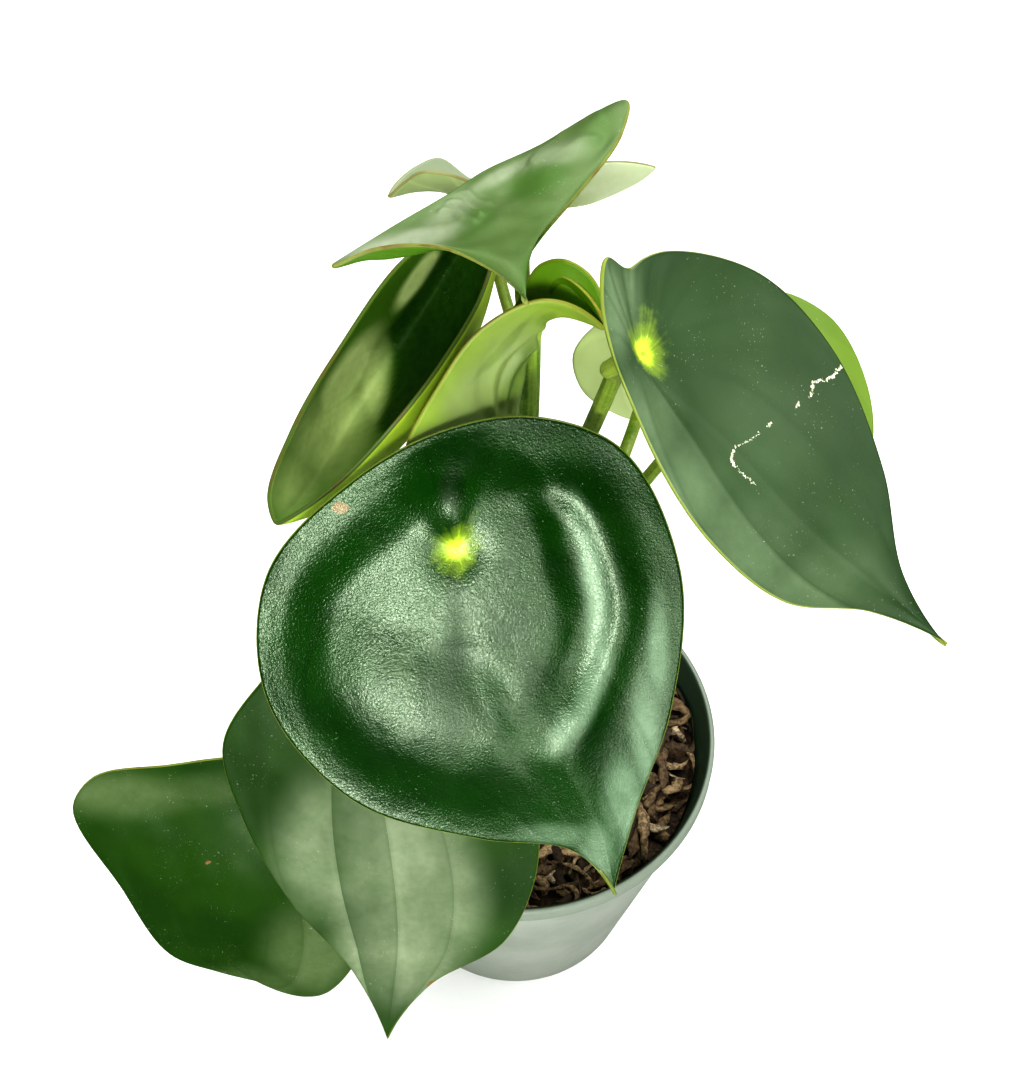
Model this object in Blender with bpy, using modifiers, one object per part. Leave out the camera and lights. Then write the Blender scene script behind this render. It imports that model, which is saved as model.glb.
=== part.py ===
"""A peperomia with drop-shaped leaves in a round nursery pot.

Metres, +Z up. The origin is the centre of the pot's base, and -Y is the side that the plant leans to.
Each leaf is a blade and a stalk. A blade is drawn by its midrib and its two edges, as smooth curves
through a few points, and its stalk runs from the main stem to its underside.

The blades' points are readings made by eye on one photograph of 1024 x 1090 pixels, and moved by eye
where the first ones missed. How far away each point lies, and everything that the photograph hides, is a
judgement. seen() turns a reading into a place.
"""

import math

import bmesh
import bpy
import numpy as np
from mathutils import Vector, noise

GAP = 0.0003

# Where the photograph was taken from. It was fitted to the pot's rim and base, on the assumption that this
# is a common pot of 10 cm.
PICTURE_CENTRE = (512, 545)
PICTURE_SCALE = 1400
VIEW_POINT = (-0.001, -0.187, 0.397)
VIEW_DIP = math.radians(51.6)

POT_HEIGHT = 0.086
POT_RIM_RADIUS = 0.051
POT_BASE_RADIUS = 0.034
POT_WALL = 0.0013
POT_FLOOR = 0.0020
POT_FOOT = 0.0010
POT_LIP_HEIGHT = 0.0045
POT_LIP_STEP = 0.0006
POT_STEPS = 56
TURN_MERGE = 0.00001
DRAIN_HOLES = 5
DRAIN_RADIUS = 0.0038
DRAIN_CIRCLE = 0.021
DRAIN_DEPTH = 0.020
DRAIN_SIDES = 16

SOIL_LEVEL = 0.0760
SOIL_RELIEF = 0.0022
SOIL_GRAIN = 0.0110
SOIL_FINE_GRAIN = 0.0050
SOIL_FINE_SHARE = 0.6
SOIL_EDGE = 0.0040
SOIL_RINGS = 9
SOIL_STEPS = 40
SOIL_HOLE_SPARE = 0.0014
SOIL_HOLE_SIDES = 20

STEM_ROUTE = [(0, 0, 0.046), (-0.001, 0.001, 0.090), (-0.001, 0.004, 0.140), (0.002, 0.007, 0.190),
              (0.002, 0.008, 0.227)]
STEM_RADIUS = 0.0026
STEM_TOP_SHARE = 0.85
STEM_POINTS = 16

BLADE_THICKNESS = 0.0010
BLADE_ROWS = 18
BLADE_COLUMNS = 12
BLADE_CREASE = 0.35
BLADE_NAVEL = 1
BLADE_FLAT = {"left": 0.0, "right": 0.0}
BELLY_SCALE = 27 / 4
BLADE_WELD = 0.00005
ROW_EASE = 0.65
COLUMN_EASE = 0.4
END_MARGIN = 0.02
NAVEL_DEPTH = 0.0010
NAVEL_RADIUS = 0.0045

STALK_TOP_SHARE = 0.80
STALK_POINTS = 11
STALK_LEAVE = 0.003
STALK_ARRIVE = 0.008
TUBE_ROUNDNESS = 2

KNOT_POWER = 0.75
CURVE_SAMPLES = 400

# Blades. A point is a reading: pixels across, pixels down, and metres ahead of the camera. The midrib runs
# from base to tip, and the stalk holds it at its second point, or at the one that navel counts from 0. The
# edges run from base to tip too, left and right as seen from above with the tip ahead. A crease nearer 0
# folds the blade more sharply, and belly is how far a half bulges to its underside, in metres.
BLADES = {
    "front": {
        "midrib": [(438, 432, 0.250), (457, 549, 0.254), (475, 690, 0.260), (560, 805, 0.267),
                   (614, 895, 0.273)],
        "left": [(530, 416, 0.250), (620, 447, 0.252), (681, 570, 0.257), (672, 710, 0.264),
                 (636, 815, 0.270)],
        "right": [(350, 482, 0.252), (266, 575, 0.257), (266, 700, 0.262), (355, 803, 0.266),
                  (480, 840, 0.268), (575, 853, 0.270)],
    },
    "right": {
        "midrib": [(630, 267, 0.223), (647, 352, 0.222), (735, 445, 0.229), (811, 526, 0.234),
                   (878, 583, 0.238), (948, 645, 0.242)],
        "left": [(643, 258, 0.224), (668, 250, 0.227), (760, 272, 0.234), (835, 350, 0.240),
                 (885, 470, 0.242), (905, 575, 0.242)],
        "right": [(608, 257, 0.218), (603, 300, 0.218), (637, 415, 0.221), (705, 535, 0.226),
                  (785, 602, 0.232), (872, 613, 0.239)],
        "crease": 0.15,
    },
    "top": {
        "midrib": [(538, 144, 0.252), (512, 192, 0.242), (512, 225, 0.232), (520, 262, 0.221),
                   (527, 303, 0.216)],
        "left": [(590, 114, 0.254), (627, 99, 0.249), (622, 130, 0.246), (575, 195, 0.238),
                 (537, 240, 0.228)],
        "right": [(484, 169, 0.248), (450, 191, 0.242), (390, 226, 0.236), (331, 264, 0.231),
                  (370, 247, 0.228), (430, 243, 0.225), (484, 265, 0.222)],
    },
    "trough": {
        "midrib": [(470, 235, 0.267), (404, 344, 0.278), (345, 435, 0.280), (305, 498, 0.271),
                   (276, 521, 0.263)],
        "left": [(492, 240, 0.256), (480, 290, 0.253), (440, 359, 0.252), (395, 418, 0.253),
                 (335, 481, 0.257)],
        "right": [(417, 252, 0.260), (339, 353, 0.264), (293, 433, 0.264), (270, 498, 0.264)],
        "belly": {"left": 0.0055, "right": 0.0005},
    },
    "young": {
        "midrib": [(440, 480, 0.264), (499, 430, 0.262), (524, 362, 0.255), (547, 317, 0.249),
                   (606, 326, 0.245)],
        "left": [(470, 380, 0.258), (515, 305, 0.251), (540, 265, 0.245), (562, 260, 0.243),
                 (590, 276, 0.243)],
        "right": [(405, 460, 0.257), (438, 382, 0.247), (482, 325, 0.242), (545, 297, 0.240)],
    },
    "low": {
        "midrib": [(335, 612, 0.280), (352, 680, 0.283), (385, 820, 0.293), (398, 940, 0.308),
                   (393, 995, 0.316), (387, 1040, 0.322)],
        "left": [(450, 640, 0.282), (525, 770, 0.290), (539, 860, 0.298), (505, 942, 0.306),
                 (430, 986, 0.313)],
        "right": [(262, 680, 0.285), (222, 745, 0.290), (240, 815, 0.296), (290, 903, 0.305),
                  (352, 972, 0.314)],
    },
    "far": {
        "midrib": [(262, 760, 0.300), (262, 810, 0.304), (240, 890, 0.310), (240, 950, 0.320),
                   (256, 982, 0.330)],
        "left": [(330, 790, 0.302), (372, 880, 0.310), (355, 965, 0.322), (318, 997, 0.328)],
        "right": [(165, 766, 0.303), (90, 779, 0.307), (72, 805, 0.309), (120, 888, 0.316),
                  (172, 957, 0.324), (215, 972, 0.328)],
    },
    "back": {
        "midrib": [(388, 194, 0.292), (438, 188, 0.298), (500, 204, 0.302), (590, 198, 0.300),
                   (654, 165, 0.296)],
        "left": [(399, 180, 0.294), (417, 165, 0.298), (441, 157, 0.302), (474, 179, 0.305),
                 (540, 184, 0.308), (605, 172, 0.304)],
        "right": [(404, 180, 0.289), (420, 170, 0.286), (448, 172, 0.286), (490, 184, 0.289),
                  (545, 175, 0.291), (605, 160, 0.292)],
        "navel": 2,
    },
    "pale": {
        "midrib": [(645, 306, 0.306), (648, 342, 0.310), (655, 390, 0.318), (668, 428, 0.326)],
        "left": [(597, 323, 0.308), (573, 352, 0.311), (581, 388, 0.316), (612, 411, 0.321),
                 (640, 421, 0.324)],
        "right": [(700, 325, 0.308), (722, 365, 0.314), (700, 410, 0.322)],
    },
    "side": {
        "midrib": [(720, 330, 0.256), (760, 350, 0.254), (820, 400, 0.252), (870, 470, 0.252)],
        "left": [(770, 290, 0.258), (830, 315, 0.258), (870, 390, 0.256)],
        "right": [(710, 380, 0.250), (740, 440, 0.248), (800, 470, 0.250)],
    },
}

# Stalks: the height on the main stem where each leaves it, the places that it passes, and its radius.
STALKS = {
    "front": {"height": 0.165, "via": [(-0.006, -0.012, 0.176)], "radius": 0.0018},
    "right": {"height": 0.150, "via": [(0.010, -0.002, 0.183), (0.017, -0.010, 0.222)], "radius": 0.0019},
    "top": {"height": 0.220, "via": [(0.001, 0.014, 0.232)], "radius": 0.0015},
    "trough": {"height": 0.160, "via": [(-0.012, 0.018, 0.176)], "radius": 0.0017},
    "young": {"height": 0.180, "via": [(-0.001, -0.001, 0.188)], "radius": 0.0014},
    "low": {"height": 0.115, "via": [(-0.014, -0.008, 0.126)], "radius": 0.0018},
    "far": {"height": 0.100, "via": [(-0.030, -0.017, 0.101)], "radius": 0.0017},
    "back": {"height": 0.172, "via": [(0.001, 0.032, 0.184)], "radius": 0.0015},
    "pale": {"height": 0.130, "via": [(0.016, 0.009, 0.154), (0.026, 0.022, 0.178)], "radius": 0.0016},
    "side": {"height": 0.140, "via": [(0.019, -0.003, 0.172), (0.033, -0.003, 0.200)], "radius": 0.0015},
}

GREEN = {
    "front": (0.030, 0.130, 0.022, 1),
    "right": (0.060, 0.180, 0.055, 1),
    "top": (0.090, 0.230, 0.060, 1),
    "trough": (0.050, 0.170, 0.035, 1),
    "young": (0.330, 0.560, 0.080, 1),
    "low": (0.060, 0.180, 0.055, 1),
    "far": (0.035, 0.140, 0.022, 1),
    "back": (0.260, 0.400, 0.160, 1),
    "pale": (0.330, 0.450, 0.240, 1),
    "side": (0.330, 0.560, 0.050, 1),
}
ROUGHNESS = {"leaf": 0.35, "stem": 0.45, "stalk": 0.40, "pot": 0.50, "soil": 0.90}
STEM_GREEN = (0.060, 0.160, 0.030, 1)
STALK_GREEN = (0.170, 0.300, 0.050, 1)
POT_GREEN = (0.330, 0.420, 0.310, 1)
SOIL_BROWN = (0.110, 0.065, 0.038, 1)


def clear_scene():
    for obj in list(bpy.data.objects):
        bpy.data.objects.remove(obj)


def new_collection(name):
    collection = bpy.data.collections.new(name)
    bpy.context.scene.collection.children.link(collection)
    return collection


def new_material(name, colour, roughness):
    material = bpy.data.materials.new(name)
    material.use_nodes = True
    shader = material.node_tree.nodes["Principled BSDF"]
    shader.inputs["Base Color"].default_value = colour
    shader.inputs["Roughness"].default_value = roughness
    shader.inputs["Metallic"].default_value = 0.0
    return material


def add_object(name, data, collection, material=None):
    obj = bpy.data.objects.new(name, data)
    collection.objects.link(obj)
    if material:
        obj.data.materials.append(material)
    return obj


def applied(obj):
    """The object's evaluated shape as a plain mesh, with the object itself removed."""
    graph = bpy.context.evaluated_depsgraph_get()
    mesh = bpy.data.meshes.new_from_object(obj.evaluated_get(graph))
    bpy.data.objects.remove(obj)
    return mesh


def seen(across, down, ahead):
    """The place of what the photograph shows at this pixel, this far ahead of the camera."""
    x, y, z = VIEW_POINT
    right = (across - PICTURE_CENTRE[0]) / PICTURE_SCALE * ahead
    above = (PICTURE_CENTRE[1] - down) / PICTURE_SCALE * ahead
    forward = above * math.sin(VIEW_DIP) + ahead * math.cos(VIEW_DIP)
    upward = above * math.cos(VIEW_DIP) - ahead * math.sin(VIEW_DIP)
    return x + right, y + forward, z + upward


def knots_of(points):
    """Shares of the curve at its points. The power below 1 keeps it round where points lie close."""
    reach = np.linalg.norm(np.diff(points, axis=0), axis=1) ** KNOT_POWER
    knots = np.concatenate([[0.0], np.cumsum(reach)])
    return knots / knots[-1]


def smooth_curve(points, shares, knots=None):
    """Places at these shares (0 to 1) of a smooth curve through the points, and its directions there."""
    points = np.asarray(points, float)
    shares = np.asarray(shares, float)
    if knots is None:
        knots = knots_of(points)
    steps = np.diff(points, axis=0) / np.diff(knots)[:, None]
    before = np.diff(knots)[:-1, None]
    after = np.diff(knots)[1:, None]
    slopes = np.empty_like(points)
    slopes[1:-1] = (steps[:-1] * after + steps[1:] * before) / (before + after)
    slopes[0] = 2 * steps[0] - slopes[1]
    slopes[-1] = 2 * steps[-1] - slopes[-2]
    piece = np.clip(np.searchsorted(knots, shares, side="right") - 1, 0, len(points) - 2)
    length = (knots[piece + 1] - knots[piece])[..., None]
    u = (shares - knots[piece])[..., None] / length
    start, end = points[piece], points[piece + 1]
    leave, arrive = slopes[piece] * length, slopes[piece + 1] * length
    places = (start * (2 * u**3 - 3 * u**2 + 1) + leave * (u**3 - 2 * u**2 + u)
              + end * (3 * u**2 - 2 * u**3) + arrive * (u**3 - u**2))
    along = (end - start) * (6 * u - 6 * u**2) + leave * (3 * u**2 - 4 * u + 1) + arrive * (3 * u**2 - 2 * u)
    return places, along / np.linalg.norm(along, axis=-1, keepdims=True)


def midrib_of(blade):
    return np.array([seen(*reading) for reading in blade["midrib"]])


def edges_at(blade, lengthwise):
    """The left and right edges at these shares of the blade's length.

    They are one closed curve, from the tip back along the left edge, round the base and out again.
    """
    base, tip = blade["midrib"][0], blade["midrib"][-1]
    readings = [tip, *reversed(blade["left"]), base, *blade["right"], tip]
    rim = np.array([seen(*reading) for reading in readings])
    knots = knots_of(rim)
    at_base = knots[len(blade["left"]) + 1]
    left, _ = smooth_curve(rim, at_base * (1 - lengthwise), knots)
    right, _ = smooth_curve(rim, at_base + (1 - at_base) * lengthwise, knots)
    return left, right


def blade_surface(blade, lengthwise, crosswise):
    """Points of the blade's upper face, and the way up from each.

    lengthwise runs from 0 at the base to 1 at the tip, crosswise from -1 at the left edge to 1 at the right.
    """
    crease = blade.get("crease", BLADE_CREASE)
    flat = math.sqrt(1 + crease**2) - crease
    bend = np.sqrt(crosswise**2 + crease**2)
    rib, _ = smooth_curve(midrib_of(blade), lengthwise)
    left, right = edges_at(blade, lengthwise)
    lift = (bend - crease) / flat
    points = rib + (right - left) / 2 * crosswise[..., None] + ((right + left) / 2 - rib) * lift[..., None]

    inner = np.clip(lengthwise, END_MARGIN, 1 - END_MARGIN)
    rib, along = smooth_curve(midrib_of(blade), inner)
    left, right = edges_at(blade, inner)
    slope = crosswise / bend / flat
    sideways = (right - left) / 2 + ((right + left) / 2 - rib) * slope[..., None]
    upward = np.cross(sideways, along)
    upward /= np.linalg.norm(upward, axis=-1, keepdims=True)

    belly = blade.get("belly", BLADE_FLAT)
    fullness = BELLY_SCALE * crosswise**2 * (1 - np.abs(crosswise)) * np.sin(math.pi * lengthwise)
    sag = np.where(crosswise < 0, belly["left"], belly["right"]) * fullness
    apart = np.linalg.norm(points - midrib_of(blade)[blade.get("navel", BLADE_NAVEL)], axis=-1)
    dip = NAVEL_DEPTH * np.exp(-((apart / NAVEL_RADIUS) ** 2))
    return points - upward * (sag + dip)[..., None], upward


def navel_of(blade):
    """The upper face's point over the stalk, and the way up from it."""
    share = knots_of(midrib_of(blade))[blade.get("navel", BLADE_NAVEL)]
    point, upward = blade_surface(blade, np.array([share]), np.array([0.0]))
    return point[0], upward[0]


def make_blade(name, blade, collection):
    """A grid bent to the blade's upper face, split into triangles and thickened downwards."""
    mesh = bpy.data.meshes.new(name)
    grid = bmesh.new()
    bmesh.ops.create_grid(grid, x_segments=BLADE_COLUMNS, y_segments=BLADE_ROWS, size=1.0)
    flat = np.array([vertex.co for vertex in grid.verts])
    lengthwise = (flat[:, 1] + 1) / 2
    eased = (1 - np.cos(math.pi * lengthwise)) / 2
    lengthwise = (1 - ROW_EASE) * lengthwise + ROW_EASE * eased
    crosswise = (1 - COLUMN_EASE) * flat[:, 0] + COLUMN_EASE * np.sin(flat[:, 0] * math.pi / 2)
    points, _ = blade_surface(blade, lengthwise, crosswise)
    for vertex, point in zip(grid.verts, points):
        vertex.co = point
    bmesh.ops.remove_doubles(grid, verts=grid.verts, dist=BLADE_WELD)
    bmesh.ops.triangulate(grid, faces=grid.faces)
    grid.to_mesh(mesh)
    grid.free()
    mesh.shade_smooth()
    material = new_material(f"leaf {name}", GREEN[name], ROUGHNESS["leaf"])
    obj = add_object(f"leaf_{name}", mesh, collection, material)
    solidify = obj.modifiers.new("thickness", "SOLIDIFY")
    solidify.thickness = BLADE_THICKNESS
    solidify.offset = -1
    return obj


def tube(name, points, radii, collection, material):
    """A round stalk through these points, as a curve with closed ends."""
    curve = bpy.data.curves.new(name, "CURVE")
    curve.dimensions = "3D"
    curve.bevel_depth = 1.0
    curve.bevel_resolution = TUBE_ROUNDNESS
    curve.use_fill_caps = True
    spline = curve.splines.new("POLY")
    spline.points.add(len(points) - 1)
    for point, place, radius in zip(spline.points, points, radii):
        point.co = (*place, 1)
        point.radius = radius
    return add_object(name, curve, collection, material)


def stem_at(height):
    """The main stem's centre at this height."""
    route, _ = smooth_curve(STEM_ROUTE, np.linspace(0, 1, CURVE_SAMPLES))
    return route[np.argmin(np.abs(route[:, 2] - height))]


def stem_radius_at(height):
    bottom, top = STEM_ROUTE[0][2], STEM_ROUTE[-1][2]
    share = (height - bottom) / (top - bottom)
    return STEM_RADIUS * (1 + (STEM_TOP_SHARE - 1) * share)


def make_stem(collection):
    route, _ = smooth_curve(STEM_ROUTE, np.linspace(0, 1, STEM_POINTS))
    radii = [stem_radius_at(point[2]) for point in route]
    return tube("stem", route, radii, collection, new_material("stem", STEM_GREEN, ROUGHNESS["stem"]))


def make_stalk(name, stalk, collection):
    """From the side of the main stem to just under the blade, which it meets square."""
    centre = stem_at(stalk["height"])
    outward = np.asarray(stalk["via"][0]) - centre
    outward[2] = 0
    outward /= np.linalg.norm(outward)
    start = centre + outward * (stem_radius_at(stalk["height"]) + 2 * GAP)
    leave = start + outward * STALK_LEAVE
    navel, upward = navel_of(BLADES[name])
    end = navel - upward * (BLADE_THICKNESS + GAP)
    arrive = end - upward * STALK_ARRIVE
    shares = (1 - np.cos(np.linspace(0, math.pi, STALK_POINTS))) / 2
    points, _ = smooth_curve([start, leave, *stalk["via"], arrive, end], shares)
    radii = stalk["radius"] * (1 + (STALK_TOP_SHARE - 1) * shares)
    material = new_material(f"stalk {name}", STALK_GREEN, ROUGHNESS["stalk"])
    return tube(f"stalk_{name}", points, radii, collection, material)


def pot_radius_at(height):
    """The outer wall's radius at this height, below the lip."""
    share = height / POT_HEIGHT
    return POT_BASE_RADIUS + (POT_RIM_RADIUS - POT_LIP_STEP - POT_BASE_RADIUS) * share


def turned(name, profile, steps, collection, material=None):
    """A profile of (radius, height) turned about the Z axis. It runs so that its faces look outwards."""
    mesh = bpy.data.meshes.new(name)
    corners = [(radius, 0, height) for radius, height in profile]
    mesh.from_pydata(corners, [(i, i + 1) for i in range(len(profile) - 1)], [])
    obj = add_object(name, mesh, collection, material)
    screw = obj.modifiers.new("turn", "SCREW")
    screw.steps = steps
    screw.render_steps = steps
    screw.use_merge_vertices = True
    screw.merge_threshold = TURN_MERGE
    return obj


def drill(obj, name, radius, depth, place, cutters, sides):
    """A round upright hole, cut through the object about this place."""
    mesh = bpy.data.meshes.new(name)
    shape = bmesh.new()
    bmesh.ops.create_cone(shape, cap_ends=True, segments=sides, radius1=radius, radius2=radius, depth=depth)
    shape.to_mesh(mesh)
    shape.free()
    cutter = add_object(name, mesh, cutters)
    cutter.location = place
    cutter.hide_render = True
    cutter.display_type = "WIRE"
    cut = obj.modifiers.new(name, "BOOLEAN")
    cut.operation = "DIFFERENCE"
    cut.solver = "EXACT"
    cut.object = cutter


def make_pot(collection, cutters):
    lip_foot = POT_HEIGHT - POT_LIP_HEIGHT
    inner_top = POT_RIM_RADIUS - POT_WALL - POT_LIP_STEP
    profile = [
        (0, POT_FLOOR),
        (pot_radius_at(POT_FLOOR) - POT_WALL, POT_FLOOR),
        (inner_top, POT_HEIGHT - POT_LIP_STEP),
        (inner_top + POT_LIP_STEP, POT_HEIGHT),
        (POT_RIM_RADIUS - POT_LIP_STEP, POT_HEIGHT),
        (POT_RIM_RADIUS, POT_HEIGHT - POT_LIP_STEP),
        (POT_RIM_RADIUS, lip_foot + POT_LIP_STEP),
        (pot_radius_at(lip_foot), lip_foot),
        (pot_radius_at(POT_FOOT), POT_FOOT),
        (pot_radius_at(0) - POT_FOOT, 0),
        (0, 0),
    ]
    material = new_material("pot", POT_GREEN, ROUGHNESS["pot"])
    pot = turned("pot", profile, POT_STEPS, collection, material)
    for index in range(DRAIN_HOLES):
        angle = 2 * math.pi * (index + 0.5) / DRAIN_HOLES
        place = (DRAIN_CIRCLE * math.cos(angle), DRAIN_CIRCLE * math.sin(angle), 0)
        drill(pot, f"drain_cutter_{index}", DRAIN_RADIUS, DRAIN_DEPTH, place, cutters, DRAIN_SIDES)
    return pot


def soil_relief(x, y):
    """How far the lumpy top of the bark and fibre mix stands from its mean level."""
    coarse = noise.noise(Vector((x, y, 0)) / SOIL_GRAIN)
    fine = noise.noise(Vector((x, y, SOIL_LEVEL)) / SOIL_FINE_GRAIN)
    return SOIL_RELIEF * (coarse + SOIL_FINE_SHARE * fine)


def make_soil(collection, cutters):
    """Soil that fills the pot, with a hole for the main stem."""
    bottom = POT_FLOOR + GAP
    side = POT_WALL + GAP
    brim = pot_radius_at(SOIL_LEVEL) - side
    rings = [(brim * ring / SOIL_RINGS, SOIL_LEVEL) for ring in range(SOIL_RINGS + 1)]
    profile = [*rings, (pot_radius_at(bottom) - side, bottom), (0, bottom)]
    mesh = applied(turned("soil", profile, SOIL_STEPS, collection))
    for vertex in mesh.vertices:
        x, y, z = vertex.co
        if z > SOIL_LEVEL / 2:
            inside = min(1.0, (brim - math.hypot(x, y)) / SOIL_EDGE)
            vertex.co.z += soil_relief(x, y) * max(0.0, inside)
    mesh.shade_smooth()
    soil = add_object("soil", mesh, collection, new_material("soil", SOIL_BROWN, ROUGHNESS["soil"]))
    hole = STEM_RADIUS + SOIL_HOLE_SPARE
    depth = 2 * (SOIL_LEVEL - STEM_ROUTE[0][2] + GAP)
    drill(soil, "stem_hole_cutter", hole, depth, (0, 0, SOIL_LEVEL), cutters, SOIL_HOLE_SIDES)
    return soil


def main():
    clear_scene()
    plant = new_collection("potted_peperomia")
    cutters = new_collection("cutters")
    make_pot(plant, cutters)
    make_soil(plant, cutters)
    make_stem(plant)
    for name, blade in BLADES.items():
        make_blade(name, blade, plant)
    for name, stalk in STALKS.items():
        make_stalk(name, stalk, plant)


main()
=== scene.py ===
"""How the potted peperomia looks: fine leaves, stalks, bark and pot in place of the plain solids.

Metres, +Z up. The blades are drawn from the same readings as the solids, with a finer grid, a rounded rim
and the relief of a real leaf. A reading is a point on the photograph of 1024 x 1090 pixels.
"""

import math

import bmesh
import bpy
import numpy as np
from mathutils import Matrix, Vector, kdtree, noise


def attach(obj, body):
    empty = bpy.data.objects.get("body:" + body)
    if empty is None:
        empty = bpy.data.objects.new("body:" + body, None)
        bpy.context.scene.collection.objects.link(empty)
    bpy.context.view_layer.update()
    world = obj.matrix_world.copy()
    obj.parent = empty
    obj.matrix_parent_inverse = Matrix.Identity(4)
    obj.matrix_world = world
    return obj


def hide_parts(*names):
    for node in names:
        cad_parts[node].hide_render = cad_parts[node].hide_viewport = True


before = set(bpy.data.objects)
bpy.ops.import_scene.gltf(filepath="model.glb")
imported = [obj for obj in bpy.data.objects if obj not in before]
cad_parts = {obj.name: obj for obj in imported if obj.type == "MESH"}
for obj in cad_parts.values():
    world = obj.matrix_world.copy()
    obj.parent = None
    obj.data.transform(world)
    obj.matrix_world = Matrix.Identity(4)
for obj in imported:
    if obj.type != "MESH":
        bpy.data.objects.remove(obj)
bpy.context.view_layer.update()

# The viewpoint, fitted to the pot's rim and base.
PICTURE_CENTRE = (512, 545)
PICTURE_SCALE = 1400
PICTURE_HEIGHT = 1090
SENSOR = 36.0
VIEW_POINT = (-0.001, -0.187, 0.397)
VIEW_DIP = math.radians(51.6)

POT_HEIGHT = 0.086
POT_RIM_RADIUS = 0.051
POT_BASE_RADIUS = 0.034
POT_WALL = 0.0013
POT_FLOOR = 0.0020
POT_FOOT = 0.0010
POT_LIP_HEIGHT = 0.0045
POT_LIP_STEP = 0.0006
POT_STEPS = 192
DRAIN_HOLES = 5
DRAIN_RADIUS = 0.0038
DRAIN_CIRCLE = 0.021
DRAIN_DEPTH = 0.020
DRAIN_SIDES = 32
SHARP_ANGLE = math.radians(50)
MERGE_GAP = 0.00001

SOIL_LEVEL = 0.0750
SOIL_RELIEF = 0.0026
SOIL_GRAIN = 0.0110
SOIL_FINE_GRAIN = 0.0030
SOIL_FINE_SHARE = 0.5
SOIL_RINGS = 44
SOIL_STEPS = 150
SOIL_GAP = 0.0003

BARK_STRIPS = 820
BARK_SEED = 7
BARK_RINGS = 9
BARK_SIDES = 8
BARK_MARGIN = 0.002
# The length, the width, and the thickness as a share of it: one end of the range, and the way to the other.
BARK_LENGTH = (0.006, 0.011)
BARK_WIDTH = (0.0030, -0.0022)
BARK_FLATNESS = (0.30, 0.35)
# Powers on an even draw, for more wide strips than slender ones, and more of them near the wall.
BARK_SLENDERNESS = 1.5
BARK_SPREAD = 0.42
# How widely the strips vary in curl, slant and roll, and from where to where they arch and lie on the bed.
BARK_CURL = 1.0
BARK_SLANT = 0.22
BARK_ROLL = 0.5
BARK_ARCH = (-0.1, 0.5)
BARK_LIE = (0.0002, 0.0028)
# The share of the curl that twists a strip, how blunt its ends are, and how uneven its rings and corners.
BARK_TWIST = 0.5
BARK_POINT = 0.06
BARK_UNEVEN = 0.22
BARK_ROUGH = 0.16

STEM_ROUTE = [(0, 0, 0.046), (-0.001, 0.001, 0.090), (-0.001, 0.004, 0.140), (0.002, 0.007, 0.190),
              (0.002, 0.008, 0.227)]
STEM_RADIUS = 0.0026
STEM_TOP_SHARE = 0.85
STEM_POINTS = 150
STEM_END = (0.85, 0.6, 0.25)
STEM_SIDES = 32
NODE_SWELL = 0.0006
NODE_LENGTH = 0.0022

BLADE_THICKNESS = 0.0010
BLADE_CREASE = 0.35
BLADE_NAVEL = 1
BLADE_FLAT = {"left": 0.0, "right": 0.0}
BELLY_SCALE = 27 / 4
END_MARGIN = 0.02
NAVEL_DEPTH = 0.0010
NAVEL_RADIUS = 0.0045
RIM_ROUND = 0.0006
RIM_SAMPLES = 3000
RIM_TOLERANCE = 1e-9
RELIEF_MARGIN = 0.003
# The swell of a blade: the seeds of its noise, which differ from blade to blade, and its two sizes of lump.
FIRST_SEED = 3
SEEDS_APART = 10
RIPPLE_LUMP = 0.014
FINE_LUMP = 0.0055
FINE_SHARE = 0.45
# Veins come at each step of the share that vein_share gives. They have their full depth from VEIN_START on.
VEIN_STEP = 0.16
VEIN_WIDTH = 0.0011
VEIN_START = 0.006

STALK_TOP_SHARE = 0.80
STALK_POINTS = 60
STALK_SIDES = 24
STALK_LEAVE = 0.003
STALK_ARRIVE = 0.008
STALK_FLARE = 0.55
# How far the flares reach from the stem and from the blade.
STALK_FLARE_LENGTHS = (0.003, 0.0016)
# Where a stalk starts and ends: shares of the stem's radius and of the blade's thickness.
STALK_ROOT = 0.5
STALK_END = 0.6
# A direction in which no strand sets out.
STRAND_SIDE = (0.3, 0.9, 0.1)

# The scar's route is a reading too, in pixels across and down.
SCARRED = "right"
SCAR_ROUTE = [(841, 366), (828, 379), (813, 383), (812, 392), (800, 403), (775, 420), (767, 427),
              (747, 442), (735, 448), (732, 460), (742, 473), (757, 485)]
SCAR_CRUMBS = 420
SCAR_SEED = 5
SCAR_SPREAD = 0.8
SCAR_SIZES = (0.00003, 0.00021)
SCAR_LUMPS = 0.25
SCAR_FLATNESS = 0.55
# Where the crust lies along the route, from one share of it to another, and how thick it is there.
SCAR_STRETCHES = [(0.00, 0.27, 1.3), (0.335, 0.355, 2.0), (0.50, 0.525, 2.0), (0.58, 0.74, 0.7),
                  (0.75, 0.86, 1.3), (0.87, 1.0, 0.8)]

KNOT_POWER = 0.75
CURVE_SAMPLES = 400
FOLD_SAMPLES = 80
# In pixels.
BORDER_SOFTNESS = 9.0

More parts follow.
